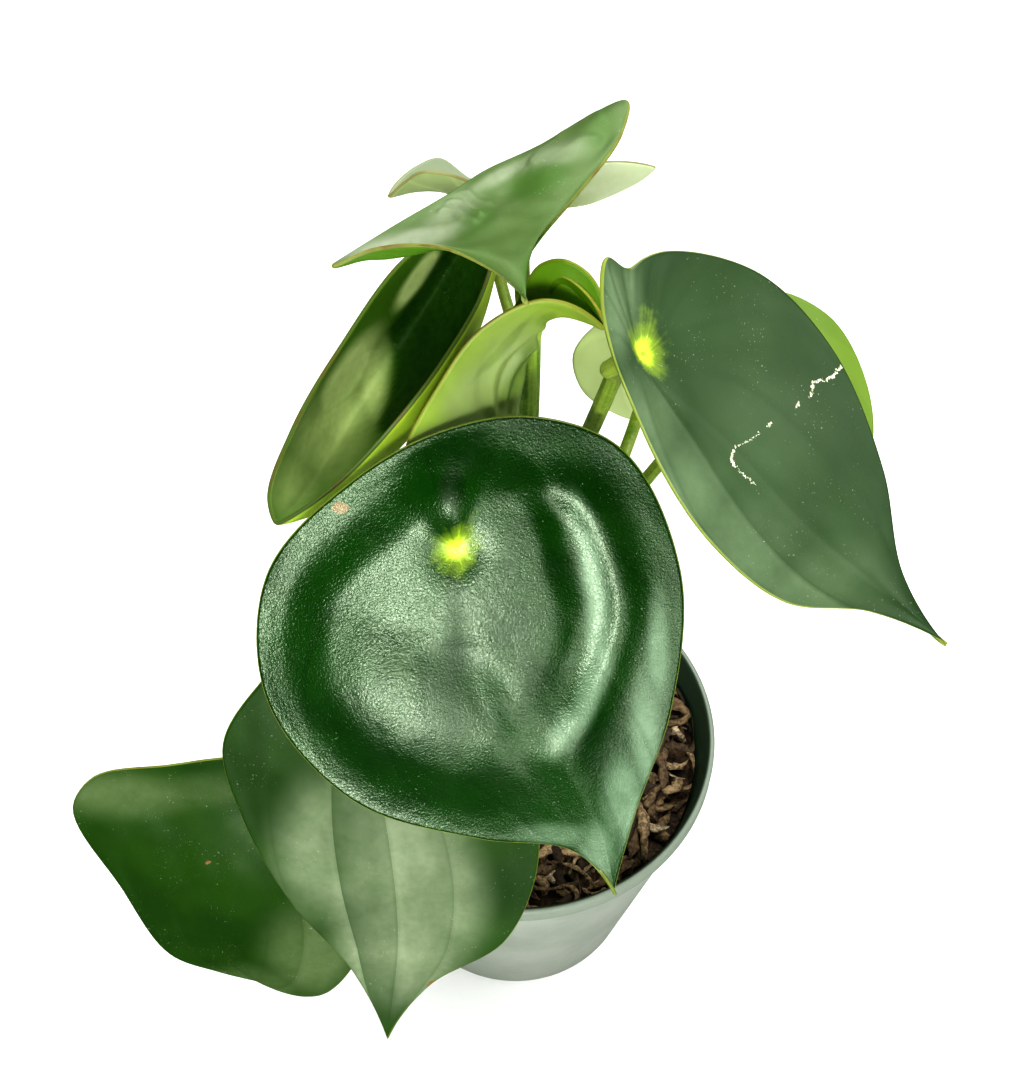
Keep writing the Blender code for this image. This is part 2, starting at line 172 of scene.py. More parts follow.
# Blades. A point is a reading: pixels across, pixels down, and metres ahead of the camera.
BLADES = {
    "front": {
        "midrib": [(438, 432, 0.250), (457, 549, 0.254), (475, 690, 0.260), (560, 805, 0.267),
                   (614, 895, 0.273)],
        "left": [(530, 416, 0.250), (620, 447, 0.252), (681, 570, 0.257), (672, 710, 0.264),
                 (636, 815, 0.270)],
        "right": [(350, 482, 0.252), (266, 575, 0.257), (266, 700, 0.262), (355, 803, 0.266),
                  (480, 840, 0.268), (575, 853, 0.270)],
    },
    "right": {
        "midrib": [(630, 267, 0.223), (647, 352, 0.222), (735, 445, 0.229), (811, 526, 0.234),
                   (878, 583, 0.238), (948, 645, 0.242)],
        "left": [(643, 258, 0.224), (668, 250, 0.227), (760, 272, 0.234), (835, 350, 0.240),
                 (885, 470, 0.242), (905, 575, 0.242)],
        "right": [(608, 257, 0.218), (603, 300, 0.218), (637, 415, 0.221), (705, 535, 0.226),
                  (785, 602, 0.232), (872, 613, 0.239)],
        "crease": 0.15,
    },
    "top": {
        "midrib": [(538, 144, 0.252), (512, 192, 0.242), (512, 225, 0.232), (520, 262, 0.221),
                   (527, 303, 0.216)],
        "left": [(590, 114, 0.254), (627, 99, 0.249), (622, 130, 0.246), (575, 195, 0.238),
                 (537, 240, 0.228)],
        "right": [(484, 169, 0.248), (450, 191, 0.242), (390, 226, 0.236), (331, 264, 0.231),
                  (370, 247, 0.228), (430, 243, 0.225), (484, 265, 0.222)],
    },
    "trough": {
        "midrib": [(470, 235, 0.267), (404, 344, 0.278), (345, 435, 0.280), (305, 498, 0.271),
                   (276, 521, 0.263)],
        "left": [(492, 240, 0.256), (480, 290, 0.253), (440, 359, 0.252), (395, 418, 0.253),
                 (335, 481, 0.257)],
        "right": [(417, 252, 0.260), (339, 353, 0.264), (293, 433, 0.264), (270, 498, 0.264)],
        "belly": {"left": 0.0055, "right": 0.0005},
    },
    "young": {
        "midrib": [(440, 480, 0.264), (499, 430, 0.262), (524, 362, 0.255), (547, 317, 0.249),
                   (606, 326, 0.245)],
        "left": [(470, 380, 0.258), (515, 305, 0.251), (540, 265, 0.245), (562, 260, 0.243),
                 (590, 276, 0.243)],
        "right": [(405, 460, 0.257), (438, 382, 0.247), (482, 325, 0.242), (545, 297, 0.240)],
    },
    "low": {
        "midrib": [(335, 612, 0.280), (352, 680, 0.283), (385, 820, 0.293), (398, 940, 0.308),
                   (393, 995, 0.316), (387, 1040, 0.322)],
        "left": [(450, 640, 0.282), (525, 770, 0.290), (539, 860, 0.298), (505, 942, 0.306),
                 (430, 986, 0.313)],
        "right": [(262, 680, 0.285), (222, 745, 0.290), (240, 815, 0.296), (290, 903, 0.305),
                  (352, 972, 0.314)],
    },
    "far": {
        "midrib": [(262, 760, 0.300), (262, 810, 0.304), (240, 890, 0.310), (240, 950, 0.320),
                   (256, 982, 0.330)],
        "left": [(330, 790, 0.302), (372, 880, 0.310), (355, 965, 0.322), (318, 997, 0.328)],
        "right": [(165, 766, 0.303), (90, 779, 0.307), (72, 805, 0.309), (120, 888, 0.316),
                  (172, 957, 0.324), (215, 972, 0.328)],
    },
    "back": {
        "midrib": [(388, 194, 0.292), (438, 188, 0.298), (500, 204, 0.302), (590, 198, 0.300),
                   (654, 165, 0.296)],
        "left": [(399, 180, 0.294), (417, 165, 0.298), (441, 157, 0.302), (474, 179, 0.305),
                 (540, 184, 0.308), (605, 172, 0.304)],
        "right": [(404, 180, 0.289), (420, 170, 0.286), (448, 172, 0.286), (490, 184, 0.289),
                  (545, 175, 0.291), (605, 160, 0.292)],
        "navel": 2,
    },
    "pale": {
        "midrib": [(645, 306, 0.306), (648, 342, 0.310), (655, 390, 0.318), (668, 428, 0.326)],
        "left": [(597, 323, 0.308), (573, 352, 0.311), (581, 388, 0.316), (612, 411, 0.321),
                 (640, 421, 0.324)],
        "right": [(700, 325, 0.308), (722, 365, 0.314), (700, 410, 0.322)],
    },
    "young_curl": {
        "midrib": [(551, 299, 0.2468), (566, 303, 0.2466), (586, 315, 0.2460), (605, 327, 0.2450)],
        "left": [(550, 289, 0.2455), (559, 279, 0.2440), (582, 294, 0.2434), (597, 312, 0.2440)],
        "right": [(562, 312, 0.2475), (582, 322, 0.2470)],
    },
    "side": {
        "midrib": [(720, 330, 0.256), (760, 350, 0.254), (820, 400, 0.252), (870, 470, 0.252)],
        "left": [(770, 290, 0.258), (830, 315, 0.258), (870, 390, 0.256)],
        "right": [(710, 380, 0.250), (740, 440, 0.248), (800, 470, 0.250)],
    },
}

# Stalks: the height on the main stem where each leaves it, its radius, and the places that it passes.
STALKS = {
    "front": (0.165, 0.0018, [(-0.006, -0.012, 0.176)]),
    "right": (0.150, 0.0019, [(0.010, -0.002, 0.183), (0.017, -0.010, 0.222)]),
    "top": (0.220, 0.0015, [(0.001, 0.014, 0.232)]),
    "trough": (0.160, 0.0017, [(-0.012, 0.018, 0.176)]),
    "young": (0.180, 0.0014, [(-0.001, -0.001, 0.188)]),
    "low": (0.115, 0.0018, [(-0.014, -0.008, 0.126)]),
    "far": (0.100, 0.0017, [(-0.030, -0.017, 0.101)]),
    "back": (0.172, 0.0015, [(0.001, 0.032, 0.184)]),
    "pale": (0.130, 0.0016, [(0.016, 0.009, 0.154), (0.026, 0.022, 0.178)]),
    "side": (0.140, 0.0015, [(0.019, -0.003, 0.172), (0.033, -0.003, 0.200)]),
}


def display(red, green, blue):
    """A colour given by its 0 to 255 display values, as the linear colour that a shader takes."""
    parts = np.array([red, green, blue]) / 255
    linear = np.where(parts <= 0.04045, parts / 12.92, ((parts + 0.055) / 1.055) ** 2.4)
    return (*map(float, linear), 1.0)


# The raised middle of the front blade, inside a valley with a crest on its outer side. A pair is where
# something starts to show and where it shows in full: in metres for the groove, and otherwise in degrees
# round the centre, from 0 at the tip by way of 90 at the left edge.
DOME = {
    "lift": 0.0013, "start": 0.0045, "width": 0.0100, "centre": 0.0150, "soft tip": 0.35,
    "sector": ((-20, 15), (155, 95)), "drift": (75, 10), "tipwards": ((-110, -60), (50, 10)),
    "valley start": 0.0180, "valley width": 0.0070, "valley drift": 0.0055,
    "crest": 0.0013, "crest inside": 0.0118, "crest drift": 0.0060, "crest outer": 0.0040,
    "crest inner": 0.0031, "crest fade": (-4, 36), "droop": 0.0020, "droop reach": 0.0200,
    "rise": 0.0024, "rise reach": 0.0170, "rise share": 0.16, "rise end": 0.0120,
    "groove": 0.0002, "groove width": 0.0025, "groove sharp": 0.0014,
    "groove ends": ((0, 0.010), (0.046, 0.030)),
}

# How each blade looks, where it differs from PLAIN_LOOKS. Lengths are in metres and colours are display
# values. Columns and rows are its grid, ripple is its swell between the veins, veins is how deep they lie
# and vein share how far their colour shows, and panels is how much the painted sheen and light differ from
# one strip between the veins to the next. Grain is the rise of its pebbled skin, gloss how strongly it
# mirrors, flecks how far old dust shows, and brown how much of its rim is brown. Patches, shades, dulls and
# spots are the paler, darker, rougher and brown places, as patched takes them. The patches are painted sheen
# and light in the patch colour, and the shades are painted shade in the shade colour; under patch and under
# shade are these colours on the underside. All to the right of a border is painted shade. Folds are as
# folded takes them.
PLAIN_LOOKS = {"slot": "leaf", "roughness": 0.45, "gloss": 0.5, "grain": 0.00002, "flecks": 0.30,
               "brown": 0.4, "panels": 0.0, "rim width": 0.0003, "navel share": 0.0, "navel size": 0.0036,
               "navel stretch": 1.0}
LEAF_LOOKS = {
    "front": {
        "columns": 120, "rows": 150, "ripple": 0.00014, "veins": 0.00003, "roughness": 0.25, "grain": 0.00007,
        "navel share": 1.0, "navel size": 0.0031, "green": (14, 60, 2), "deep": (3, 42, 0),
        "under": (120, 160, 70), "rim": (120, 134, 60), "patch": (116, 142, 114), "shade": (2, 34, 0),
        "dome": DOME,
        # Painted sheen: pale patches in the patch colour along the crest, along the band inside the right rim
        # and at the tip brighten the highlights there.
        "patches": [(579, 520, 8, 26, 0.5, -12), (591, 565, 10, 45, 0.9, -8), (598, 630, 11, 50, 1.0),
                    (588, 690, 11, 36, 0.9, 18), (566, 726, 12, 26, 0.7, 35), (658, 650, 10, 50, 0.9),
                    (646, 730, 14, 50, 0.9), (622, 800, 18, 40, 0.9), (598, 850, 16, 26, 0.8),
                    (560, 834, 40, 10, 0.6)],
        # Painted shade in the shade colour, behind the navel and in a band down the midrib.
        "shades": [(453, 486, 12, 22, 0.8), (455, 640, 9, 90, 0.6)],
        "dulls": [(448, 492, 9, 9, 1.4), (452, 690, 16, 70, 0.7)],
        "spots": [(340, 508, 9, 7, 1.0)],
    },
    "right": {
        "columns": 84, "rows": 110, "ripple": 0.00025, "veins": 0.00012, "panels": 0.7, "roughness": 0.46,
        "brown": 0.1, "navel share": 1.0, "navel size": 0.0031, "navel stretch": 1.5, "green": (44, 70, 34),
        "deep": (30, 56, 22), "under": (130, 165, 80), "rim": (130, 144, 60), "patch": (100, 120, 88),
        # Painted sheen: paler grey-green patches in the patch colour across the blade and a strip by its
        # fold.
        "patches": [(640, 440, 40, 60, 0.8), (680, 500, 45, 60, 0.9), (740, 550, 60, 50, 0.9),
                    (820, 590, 60, 40, 0.8), (618, 300, 18, 50, 1.3), (760, 430, 60, 50, 0.3)],
    },
    "top": {
        "columns": 150, "rows": 160, "ripple": 0.00120, "veins": 0.00003, "vein share": 0.06,
        "roughness": 0.55, "gloss": 0.35, "grain": 0.00004, "brown": 0.6, "rim width": 0.0002,
        "green": (99, 121, 75), "deep": (82, 108, 52), "under": (82, 122, 26), "rim": (128, 136, 66),
        "patch": (168, 176, 152), "shade": (64, 108, 26),
        # Painted sheen: pale grey patches in the patch colour. Painted shade: the shades, in the shade
        # colour, in the hollows by the folds and across the blade.
        "patches": [(556, 158, 34, 10, 0.4, -25), (452, 212, 30, 12, 0.5, -35), (400, 244, 60, 10, 1.0, -14),
                    (500, 178, 34, 7, 0.6, -28)],
        "shades": [(538, 185, 30, 13, 0.7, -25), (478, 226, 22, 10, 0.5, -30), (528, 280, 8, 26, 0.5),
                   (600, 128, 10, 22, 0.3, 30)],
        "folds": [([(441, 211), (452, 212), (463, 222), (476, 226)], 3.0, 0.00075),
                  ([(447, 202), (459, 203), (470, 214), (482, 218)], 3.0, 0.00080),
                  ([(452, 194), (465, 194), (478, 204), (492, 206)], 3.0, 0.00065),
                  ([(534, 166), (556, 152), (580, 141), (596, 138)], 5.0, 0.00060),
                  ([(560, 138), (580, 130), (600, 118)], 5.0, 0.00040),
                  ([(380, 246), (410, 236), (436, 232)], 5.0, 0.00040)],
    },
    "trough": {
        "columns": 84, "rows": 90, "ripple": 0.00020, "veins": 0.0, "vein share": 0.0, "roughness": 0.55,
        "gloss": 0.15, "flecks": 0.1, "green": (72, 108, 32), "deep": (60, 94, 20), "under": (174, 204, 66),
        "rim": (82, 102, 42), "patch": (190, 206, 140), "shade": (1, 46, 0), "under shade": (166, 192, 62),
        # Painted light: the patches, in the pale patch colour, light up the left wall. Painted shade: all
        # right of the border, the right wall, takes the near-black shade colour, and its underside there
        # takes the under shade colour.
        "patches": [(348, 376, 13, 46, 1.4, 34), (374, 380, 14, 42, 0.9, 8), (332, 432, 30, 50, 0.9, 34),
                    (300, 474, 22, 40, 0.6, 34), (418, 278, 7, 30, 1.8, 36)],
        "border": [(440, 254), (421, 286), (403, 309), (388, 331), (393, 348), (395, 368), (390, 399),
                   (377, 426), (384, 436), (470, 446)],
    },
    "young": {
        "columns": 130, "rows": 150, "slot": "young_leaf", "ripple": 0.00050, "veins": 0.00004,
        "vein share": 0.08, "gloss": 0.3, "flecks": 0.1, "brown": 0.15, "rim width": 0.0002,
        "green": (100, 138, 20), "deep": (70, 112, 6), "under": (138, 164, 60), "rim": (140, 144, 56),
        "shade": (52, 90, 6), "under patch": (128, 144, 92), "under shade": (70, 96, 26),
        # Painted light: the patches, in the under patch colour, pale the near half and lift its foot, which
        # the front blade shades. Painted shade: the shades, in the shade and under shade colours, darken its
        # folds and the edge of the second curl.
        "patches": [(508, 385, 34, 60, 1.4, 16), (470, 428, 50, 16, 1.2, -14), (474, 396, 24, 50, 1.2, 30)],
        "shades": [(500, 345, 4, 40, 0.5, 42), (514, 374, 8, 34, 0.8, 24), (545, 316, 12, 5, 0.5, -25)],
        "folds": [([(542, 315), (511, 331), (485, 354), (478, 385), (485, 416)], 5.0, 0.00030),
                  ([(545, 322), (519, 338), (498, 357), (489, 378), (492, 416)], 3.0, -0.00045),
                  ([(540, 330), (522, 343), (506, 361), (498, 382), (498, 404)], 3.0, 0.00070),
                  ([(539, 340), (520, 354), (508, 372), (503, 396)], 2.5, -0.00050),
                  ([(538, 347), (522, 364), (511, 385), (504, 410)], 3.5, 0.00060)],
    },
    "young_curl": {
        "columns": 40, "rows": 60, "slot": "young_leaf", "ripple": 0.00010, "veins": 0.0, "vein share": 0.0,
        "gloss": 0.3, "flecks": 0.0, "brown": 0.5, "green": (84, 118, 14), "deep": (60, 98, 4),
        "under": (120, 150, 50), "rim": (150, 150, 60),
    },
    "low": {
        "columns": 84, "rows": 100, "ripple": 0.00040, "veins": 0.00010, "vein share": 0.12, "panels": 1.3,
        "roughness": 0.50, "gloss": 0.35, "green": (38, 74, 8), "deep": (24, 58, 2), "under": (130, 165, 80),
        "rim": (90, 116, 36), "patch": (172, 184, 152),
        # Painted sheen: pale patches in the patch colour over the middle of the blade.
        "patches": [(390, 850, 62, 90, 1.0), (398, 940, 52, 60, 1.0), (440, 900, 40, 60, 0.7),
                    (325, 850, 44, 60, 0.5)],
        "spots": [(434, 985, 7, 5, 1.0)],
    },
    "far": {
        "columns": 84, "rows": 90, "ripple": 0.00040, "veins": 0.00008, "vein share": 0.1, "panels": 0.6,
        "gloss": 0.25, "green": (34, 70, 2), "deep": (22, 58, 0), "under": (120, 160, 70),
        "rim": (120, 134, 60), "patch": (94, 112, 72),
        # Painted sheen: grey-green patches in the patch colour at the top and the lower right.
        "patches": [(120, 795, 60, 20, 0.9), (310, 950, 40, 40, 0.9), (250, 985, 50, 16, 0.7),
                    (210, 790, 50, 14, 0.5)],
        "spots": [(209, 862, 3, 3, 1.0)],
    },
    "back": {
        "columns": 60, "rows": 70, "slot": "pale_leaf", "ripple": 0.00030, "veins": 0.00015,
        "roughness": 0.50, "gloss": 0.3, "brown": 0.35, "rim width": 0.0002, "green": (158, 166, 146),
        "deep": (146, 158, 128), "under": (168, 186, 128), "rim": (140, 140, 88),
        # Painted light: a pale patch in the under patch colour towards the right end.
        "under patch": (214, 224, 188),
        "patches": [(625, 178, 60, 26, 1.3)],
    },
    "pale": {
        "columns": 48, "rows": 56, "slot": "pale_leaf", "ripple": 0.00012, "veins": 0.00005,
        "roughness": 0.50, "green": (180, 196, 144), "deep": (168, 186, 130), "under": (194, 210, 146),
        "rim": (176, 190, 136),
    },
    "side": {
        "columns": 48, "rows": 56, "slot": "young_leaf", "ripple": 0.00025, "veins": 0.00015,
        "green": (114, 142, 46), "deep": (100, 130, 34), "under": (150, 180, 70), "rim": (120, 140, 50),
    },
}
# How soft the edge of a place of each kind is, as a share of its half width.
PATCH_SOFTNESS = {"dulls": 1.7, "patches": 1.3, "shades": 0.8, "spots": 0.8}
# How far the veins show on an upper face and on an underside, where the looks don't say.
UPPER_VEINS = 0.25
UNDER_VEINS = 0.2
# How light an underside's deep places, its painted shade and its pale veins and navel are beside its green,
# if the looks don't say.
UNDER_DEEP = 0.72
UNDER_SHADE = 0.30
UNDER_PALE = 1.35
NAVEL_YELLOW = display(206, 240, 60)
EYE_GREEN = display(84, 140, 16)
SPOT_BROWN = display(124, 90, 54)
RIM_BROWN = display(112, 78, 44)
FLECK_PALE = display(200, 205, 190)
SHEEN_TINT = (0.84, 1.00, 0.75, 1.0)
# The strips of bark, from the darkest to the palest.
BARK_TONES = [(0.0, (50, 40, 27)), (0.30, (98, 80, 55)), (0.62, (144, 121, 88)), (0.86, (176, 152, 116)),
              (1.0, (208, 190, 158))]

# The floor and the white all round, and what glossy surfaces mirror in their place.
FLOOR_REACH = 2.5
FLOOR_GAP = 0.0001
FLOOR_MIRRORED = display(58, 58, 58)
WORLD_LIGHT = 0.10
WORLD_MIRRORED = 0.018
# Each softbox: its name, place, width, height and power.
SOFTBOXES = [
    ("front left softbox", (-0.30, -1.22, 0.74), 0.38, 0.36, 2.6),
    ("front right softbox", (0.23, -1.22, 0.74), 0.32, 0.36, 2.2),
    ("front lamp", (-0.19, -1.18, 0.64), 0.17, 0.28, 7.5),
    ("front fill", (-0.25, -1.22, 0.46), 0.40, 0.20, 0.45),
    ("low softbox", (0.42, -1.15, 0.36), 0.36, 0.34, 3.1),
    ("right window", (1.10, -0.10, 0.75), 0.6, 0.6, 4),
    ("overhead", (0.10, 0.45, 1.40), 1.4, 1.4, 24),
]
LIGHTS_AIM = (0, 0, 0.13)


def seen(across, down, ahead):
    """The place of what the photograph shows at this pixel, this far ahead of the camera."""
    x, y, z = VIEW_POINT
    right = (across - PICTURE_CENTRE[0]) / PICTURE_SCALE * ahead
    above = (PICTURE_CENTRE[1] - down) / PICTURE_SCALE * ahead
    forward = above * math.sin(VIEW_DIP) + ahead * math.cos(VIEW_DIP)
    upward = above * math.cos(VIEW_DIP) - ahead * math.sin(VIEW_DIP)
    return x + right, y + forward, z + upward


def run_along(points, power=1):
    """How far along their line the points lie, with each step raised to this power."""
    steps = np.linalg.norm(np.diff(points, axis=0), axis=1) ** power
    return np.concatenate([[0.0], np.cumsum(steps)])


def knots_of(points):
    """Shares of the curve at its points. The power below 1 keeps it round where points lie close."""
    knots = run_along(points, KNOT_POWER)
    return knots / knots[-1]


def smooth_curve(points, shares, knots=None):
    """Places at these shares (0 to 1) of a smooth curve through the points, and its directions there."""
    points = np.asarray(points, float)
    shares = np.asarray(shares, float)
    if knots is None:
        knots = knots_of(points)
    steps = np.diff(points, axis=0) / np.diff(knots)[:, None]
    before = np.diff(knots)[:-1, None]
    after = np.diff(knots)[1:, None]
    slopes = np.empty_like(points)
    slopes[1:-1] = (steps[:-1] * after + steps[1:] * before) / (before + after)
    slopes[0] = 2 * steps[0] - slopes[1]
    slopes[-1] = 2 * steps[-1] - slopes[-2]
    piece = np.clip(np.searchsorted(knots, shares, side="right") - 1, 0, len(points) - 2)
    length = (knots[piece + 1] - knots[piece])[..., None]
    u = (shares - knots[piece])[..., None] / length
    start, end = points[piece], points[piece + 1]
    leave, arrive = slopes[piece] * length, slopes[piece + 1] * length
    places = (start * (2 * u**3 - 3 * u**2 + 1) + leave * (u**3 - 2 * u**2 + u)
              + end * (3 * u**2 - 2 * u**3) + arrive * (u**3 - u**2))
    along = (end - start) * (6 * u - 6 * u**2) + leave * (3 * u**2 - 4 * u + 1) + arrive * (3 * u**2 - 2 * u)
    return places, along / np.linalg.norm(along, axis=-1, keepdims=True)


def pictured(points):
    """Where places fall on the photograph, in pixels across and down."""
    x, y, z = (points - np.array(VIEW_POINT)).T
    ahead = y * math.cos(VIEW_DIP) - z * math.sin(VIEW_DIP)
    above = y * math.sin(VIEW_DIP) + z * math.cos(VIEW_DIP)
    return PICTURE_CENTRE[0] + PICTURE_SCALE * x / ahead, PICTURE_CENTRE[1] - PICTURE_SCALE * above / ahead


def midrib_of(blade):
    """The midrib's points, from the base to the tip."""
    return np.array([seen(*reading) for reading in blade["midrib"]])


def rim_of(blade):
    """The rim as one closed run of points from the tip back to it, its knots, and the base's share of it."""
    base, tip = blade["midrib"][0], blade["midrib"][-1]
    readings = [tip, *reversed(blade["left"]), base, *blade["right"], tip]
    rim = np.array([seen(*reading) for reading in readings])
    knots = knots_of(rim)
    return rim, knots, knots[len(blade["left"]) + 1]


def edges_at(blade, lengthwise):
    """The left and right edges at these shares of the blade's length."""
    rim, knots, at_base = rim_of(blade)
    left, _ = smooth_curve(rim, at_base * (1 - lengthwise), knots)
    right, _ = smooth_curve(rim, at_base + (1 - at_base) * lengthwise, knots)
    return left, right


def spine_at(blade, lengthwise):
    """The midrib and its direction, half the way across the blade, and how far the edges rise from it."""
    rib, along = smooth_curve(midrib_of(blade), lengthwise)
    left, right = edges_at(blade, lengthwise)
    return rib, along, (right - left) / 2, (right + left) / 2 - rib


def blade_surface(blade, lengthwise, crosswise):
    """Points of the blade's upper face, and the way up from each.

    lengthwise runs from 0 at the base to 1 at the tip, crosswise from -1 at the left edge to 1 at the right.
    """
    crease = blade.get("crease", BLADE_CREASE)
    flat = math.sqrt(1 + crease**2) - crease
    bend = np.sqrt(crosswise**2 + crease**2)
    rib, _, half, rise = spine_at(blade, lengthwise)
    lift = (bend - crease) / flat
    points = rib + half * crosswise[..., None] + rise * lift[..., None]
    _, along, half, rise = spine_at(blade, np.clip(lengthwise, END_MARGIN, 1 - END_MARGIN))
    slope = crosswise / bend / flat
    sideways = half + rise * slope[..., None]
    upward = np.cross(sideways, along)
    upward /= np.linalg.norm(upward, axis=-1, keepdims=True)

    belly = blade.get("belly", BLADE_FLAT)
    fullness = BELLY_SCALE * crosswise**2 * (1 - np.abs(crosswise)) * np.sin(math.pi * lengthwise)
    sag = np.where(crosswise < 0, belly["left"], belly["right"]) * fullness
    apart = np.linalg.norm(points - midrib_of(blade)[blade.get("navel", BLADE_NAVEL)], axis=-1)
    dip = NAVEL_DEPTH * np.exp(-((apart / NAVEL_RADIUS) ** 2))
    return points - upward * (sag + dip)[..., None], upward


def navel_share(blade):
    """How far along the midrib the stalk meets it."""
    return knots_of(midrib_of(blade))[blade.get("navel", BLADE_NAVEL)]


def navel_of(blade):
    """The upper face's point over the stalk, and the way up from it."""
    point, upward = blade_surface(blade, np.array([navel_share(blade)]), np.array([0.0]))
    return point[0], upward[0]


def smoothstep(value):
    """0 up to 0 and 1 from 1 on, with soft ends."""
    value = np.clip(value, 0, 1)
    return value * value * (3 - 2 * value)


def faded(value, start, end):
    """0 where the value is at start and 1 where it is at end, with soft ends."""
    return smoothstep((value - start) / (end - start))


def swell(points, size, seed):
    """Smooth noise from -1 to 1 at these places, with lumps of this size."""
    offset = Vector((seed, 2 * seed, 3 * seed))
    return np.array([noise.noise(Vector(point) / size + offset) for point in points])


def rim_distance(blade, points):
    """How far each point lies from the blade's rim."""
    rim, knots, _ = rim_of(blade)
    samples, _ = smooth_curve(rim, np.linspace(0, 1, RIM_SAMPLES), knots)
    tree = kdtree.KDTree(len(samples))
    for index, sample in enumerate(samples):
        tree.insert(sample, index)
    tree.balance()
    return np.array([tree.find(point)[2] for point in points])


def vein_share(blade, lengthwise, crosswise):
    """Which vein a point lies on, and its place on the flattened blade.

    Veins leave the navel in all directions and bend round to meet at the tip. The share is 0 on the midrib
    and 1 behind the navel. The spread is the metres across the blade that one unit of it takes up there.
    """
    left, right = edges_at(blade, lengthwise)
    across = crosswise * np.linalg.norm(right - left, axis=-1) / 2
    shares = np.linspace(0, 1, CURVE_SAMPLES)
    rib, _ = smooth_curve(midrib_of(blade), shares)
    run = run_along(rib)
    navel = np.interp(navel_share(blade), shares, run)
    along = np.interp(lengthwise, shares, run) - navel
    reach = run[-1] - navel
    angles = np.arctan2(np.abs(across), along) + np.arctan2(np.abs(across), reach - along)
    spread = math.pi * np.hypot(across, along) * np.hypot(across, reach - along) / reach
    return angles / math.pi, spread, across, along


def dome_relief(dome, rim, veins, across, along):
    """The raised middle, the valley and crest round its left, the rise behind the navel, and the groove."""

    def within(value, ends):
        starting, stopping = ends
        return faded(value, *starting) * faded(value, *stopping)

    bearing = np.degrees(np.arctan2(-across, along - dome["centre"]))
    sector, tipwards = within(bearing, dome["sector"]), within(bearing, dome["tipwards"])
    drift = faded(bearing, *dome["drift"])
    start = dome["start"] + (dome["valley start"] + dome["valley drift"] * drift - dome["start"]) * sector
    width = dome["width"] + (dome["valley width"] - dome["width"]) * sector
    height = dome["lift"] * (1 - dome["soft tip"] * tipwards) * smoothstep((rim - start) / width)
    off_crest = rim - dome["crest inside"] - dome["crest drift"] * drift
    slope = np.where(off_crest < 0, dome["crest outer"], dome["crest inner"])
    fading = sector * faded(bearing, *dome["crest fade"])
    height = height + fading * dome["crest"] * np.exp(-((off_crest / slope) ** 2))
    away = np.hypot(across, along)
    behind = np.exp(-(((1 - veins) / dome["rise share"]) ** 2)) * smoothstep(rim / dome["rise end"])
    height = height + dome["rise"] * behind * (1 - (1 - np.clip(away / dome["rise reach"], 0, 1)) ** 2)
    inwards = rim / dome["droop reach"]
    height = height + dome["droop"] * tipwards * smoothstep(inwards) * smoothstep(2 - inwards)
    groove = np.exp(-np.hypot(across, dome["groove sharp"]) / dome["groove width"])
    return height - dome["groove"] * (groove * within(along, dome["groove ends"]))


def relief_of(looks, seed, points, rim, veins, spread, across, along):
    """How far a blade's living surface stands above or below the plain one, in metres."""
    lumps = swell(points, RIPPLE_LUMP, seed) + FINE_SHARE * swell(points, FINE_LUMP, seed + 1)
    nearest = np.abs(veins - VEIN_STEP * np.round(veins / VEIN_STEP)) * spread
    sunk = looks["veins"] * np.exp(-((nearest / VEIN_WIDTH) ** 2)) * smoothstep(np.abs(along) / VEIN_START)
    height = looks["ripple"] * lumps - sunk
    if "dome" in looks:
        height = height + dome_relief(looks["dome"], rim, veins, across, along)
    height = height + folded(looks.get("folds", []), points)
    return height * smoothstep(rim / RELIEF_MARGIN)


def patched(patches, softness, points):
    """How far each point lies in soft oval patches.

    A patch is pixels across and down, half its width and height, its share, and its turn if it has one.
    """
    across, down = pictured(points)
    cover = np.zeros(len(points))
    for middle_across, middle_down, half_width, half_height, share, *turn in patches:
        angle = math.radians(sum(turn))
        aside, below = across - middle_across, down - middle_down
        wide = aside * math.cos(angle) + below * math.sin(angle)
        high = below * math.cos(angle) - aside * math.sin(angle)
        apart = np.hypot(wide / half_width, high / half_height)
        cover = np.maximum(cover, share * smoothstep((1 - apart) / softness + 0.5))
    return cover


def beyond(border, points):
    """How far each point lies to the right of a border, which is read from top to bottom in pixels."""
    across, down = pictured(points)
    edge_across, edge_down = np.array(border, float).T
    return smoothstep((across - np.interp(down, edge_down, edge_across)) / BORDER_SOFTNESS + 0.5)


def folded(folds, points):
    """How high the blade's folds stand. A fold is a route in pixels, its half width there and its rise."""
    across, down = pictured(points)
    height = np.zeros(len(points))
    for route, half_width, rise in folds:
        line, _ = smooth_curve(route, np.linspace(0, 1, FOLD_SAMPLES))
        apart = np.hypot(across[:, None] - line[:, 0], down[:, None] - line[:, 1]).min(axis=1)
        height = height + rise * np.exp(-((apart / half_width) ** 2))
    return height


def tones_of(looks, points):
    """The dull share, the shares of painted sheen and light and of painted shade, and the spotted share of
    each point.
    """
    tones = {kind: patched(looks.get(kind, []), soft, points) for kind, soft in PATCH_SOFTNESS.items()}
    # All to the right of a border is painted shade.
    if "border" in looks:
        tones["shades"] = np.maximum(tones["shades"], beyond(looks["border"], points))
    return list(tones.values())


def add_object(name, mesh, *materials):
    """A new object in the scene, with these materials."""
    obj = bpy.data.objects.new(name, mesh)
    bpy.context.scene.collection.objects.link(obj)
    for material in materials:
        obj.data.materials.append(material)
    return obj


def finished(obj, slot, *nodes):
    """The piece rides on the plant and stands for these solids. The slot it is given is not used."""
    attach(obj, "root")
    if nodes:
        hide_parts(*nodes)
    return obj


def add_attribute(mesh, name, columns):
    """Three numbers at each vertex, for the materials."""
    values = np.stack(columns, axis=-1).astype(np.float32)
    mesh.attributes.new(name, "FLOAT_VECTOR", "POINT").data.foreach_set("vector", values.ravel())


def smooth_mesh(name, vertices, faces):
    """A new mesh of these faces, shaded smooth."""
    mesh = bpy.data.meshes.new(name)
    mesh.from_pydata(np.asarray(vertices).tolist(), [], faces)
    mesh.shade_smooth()
    return mesh


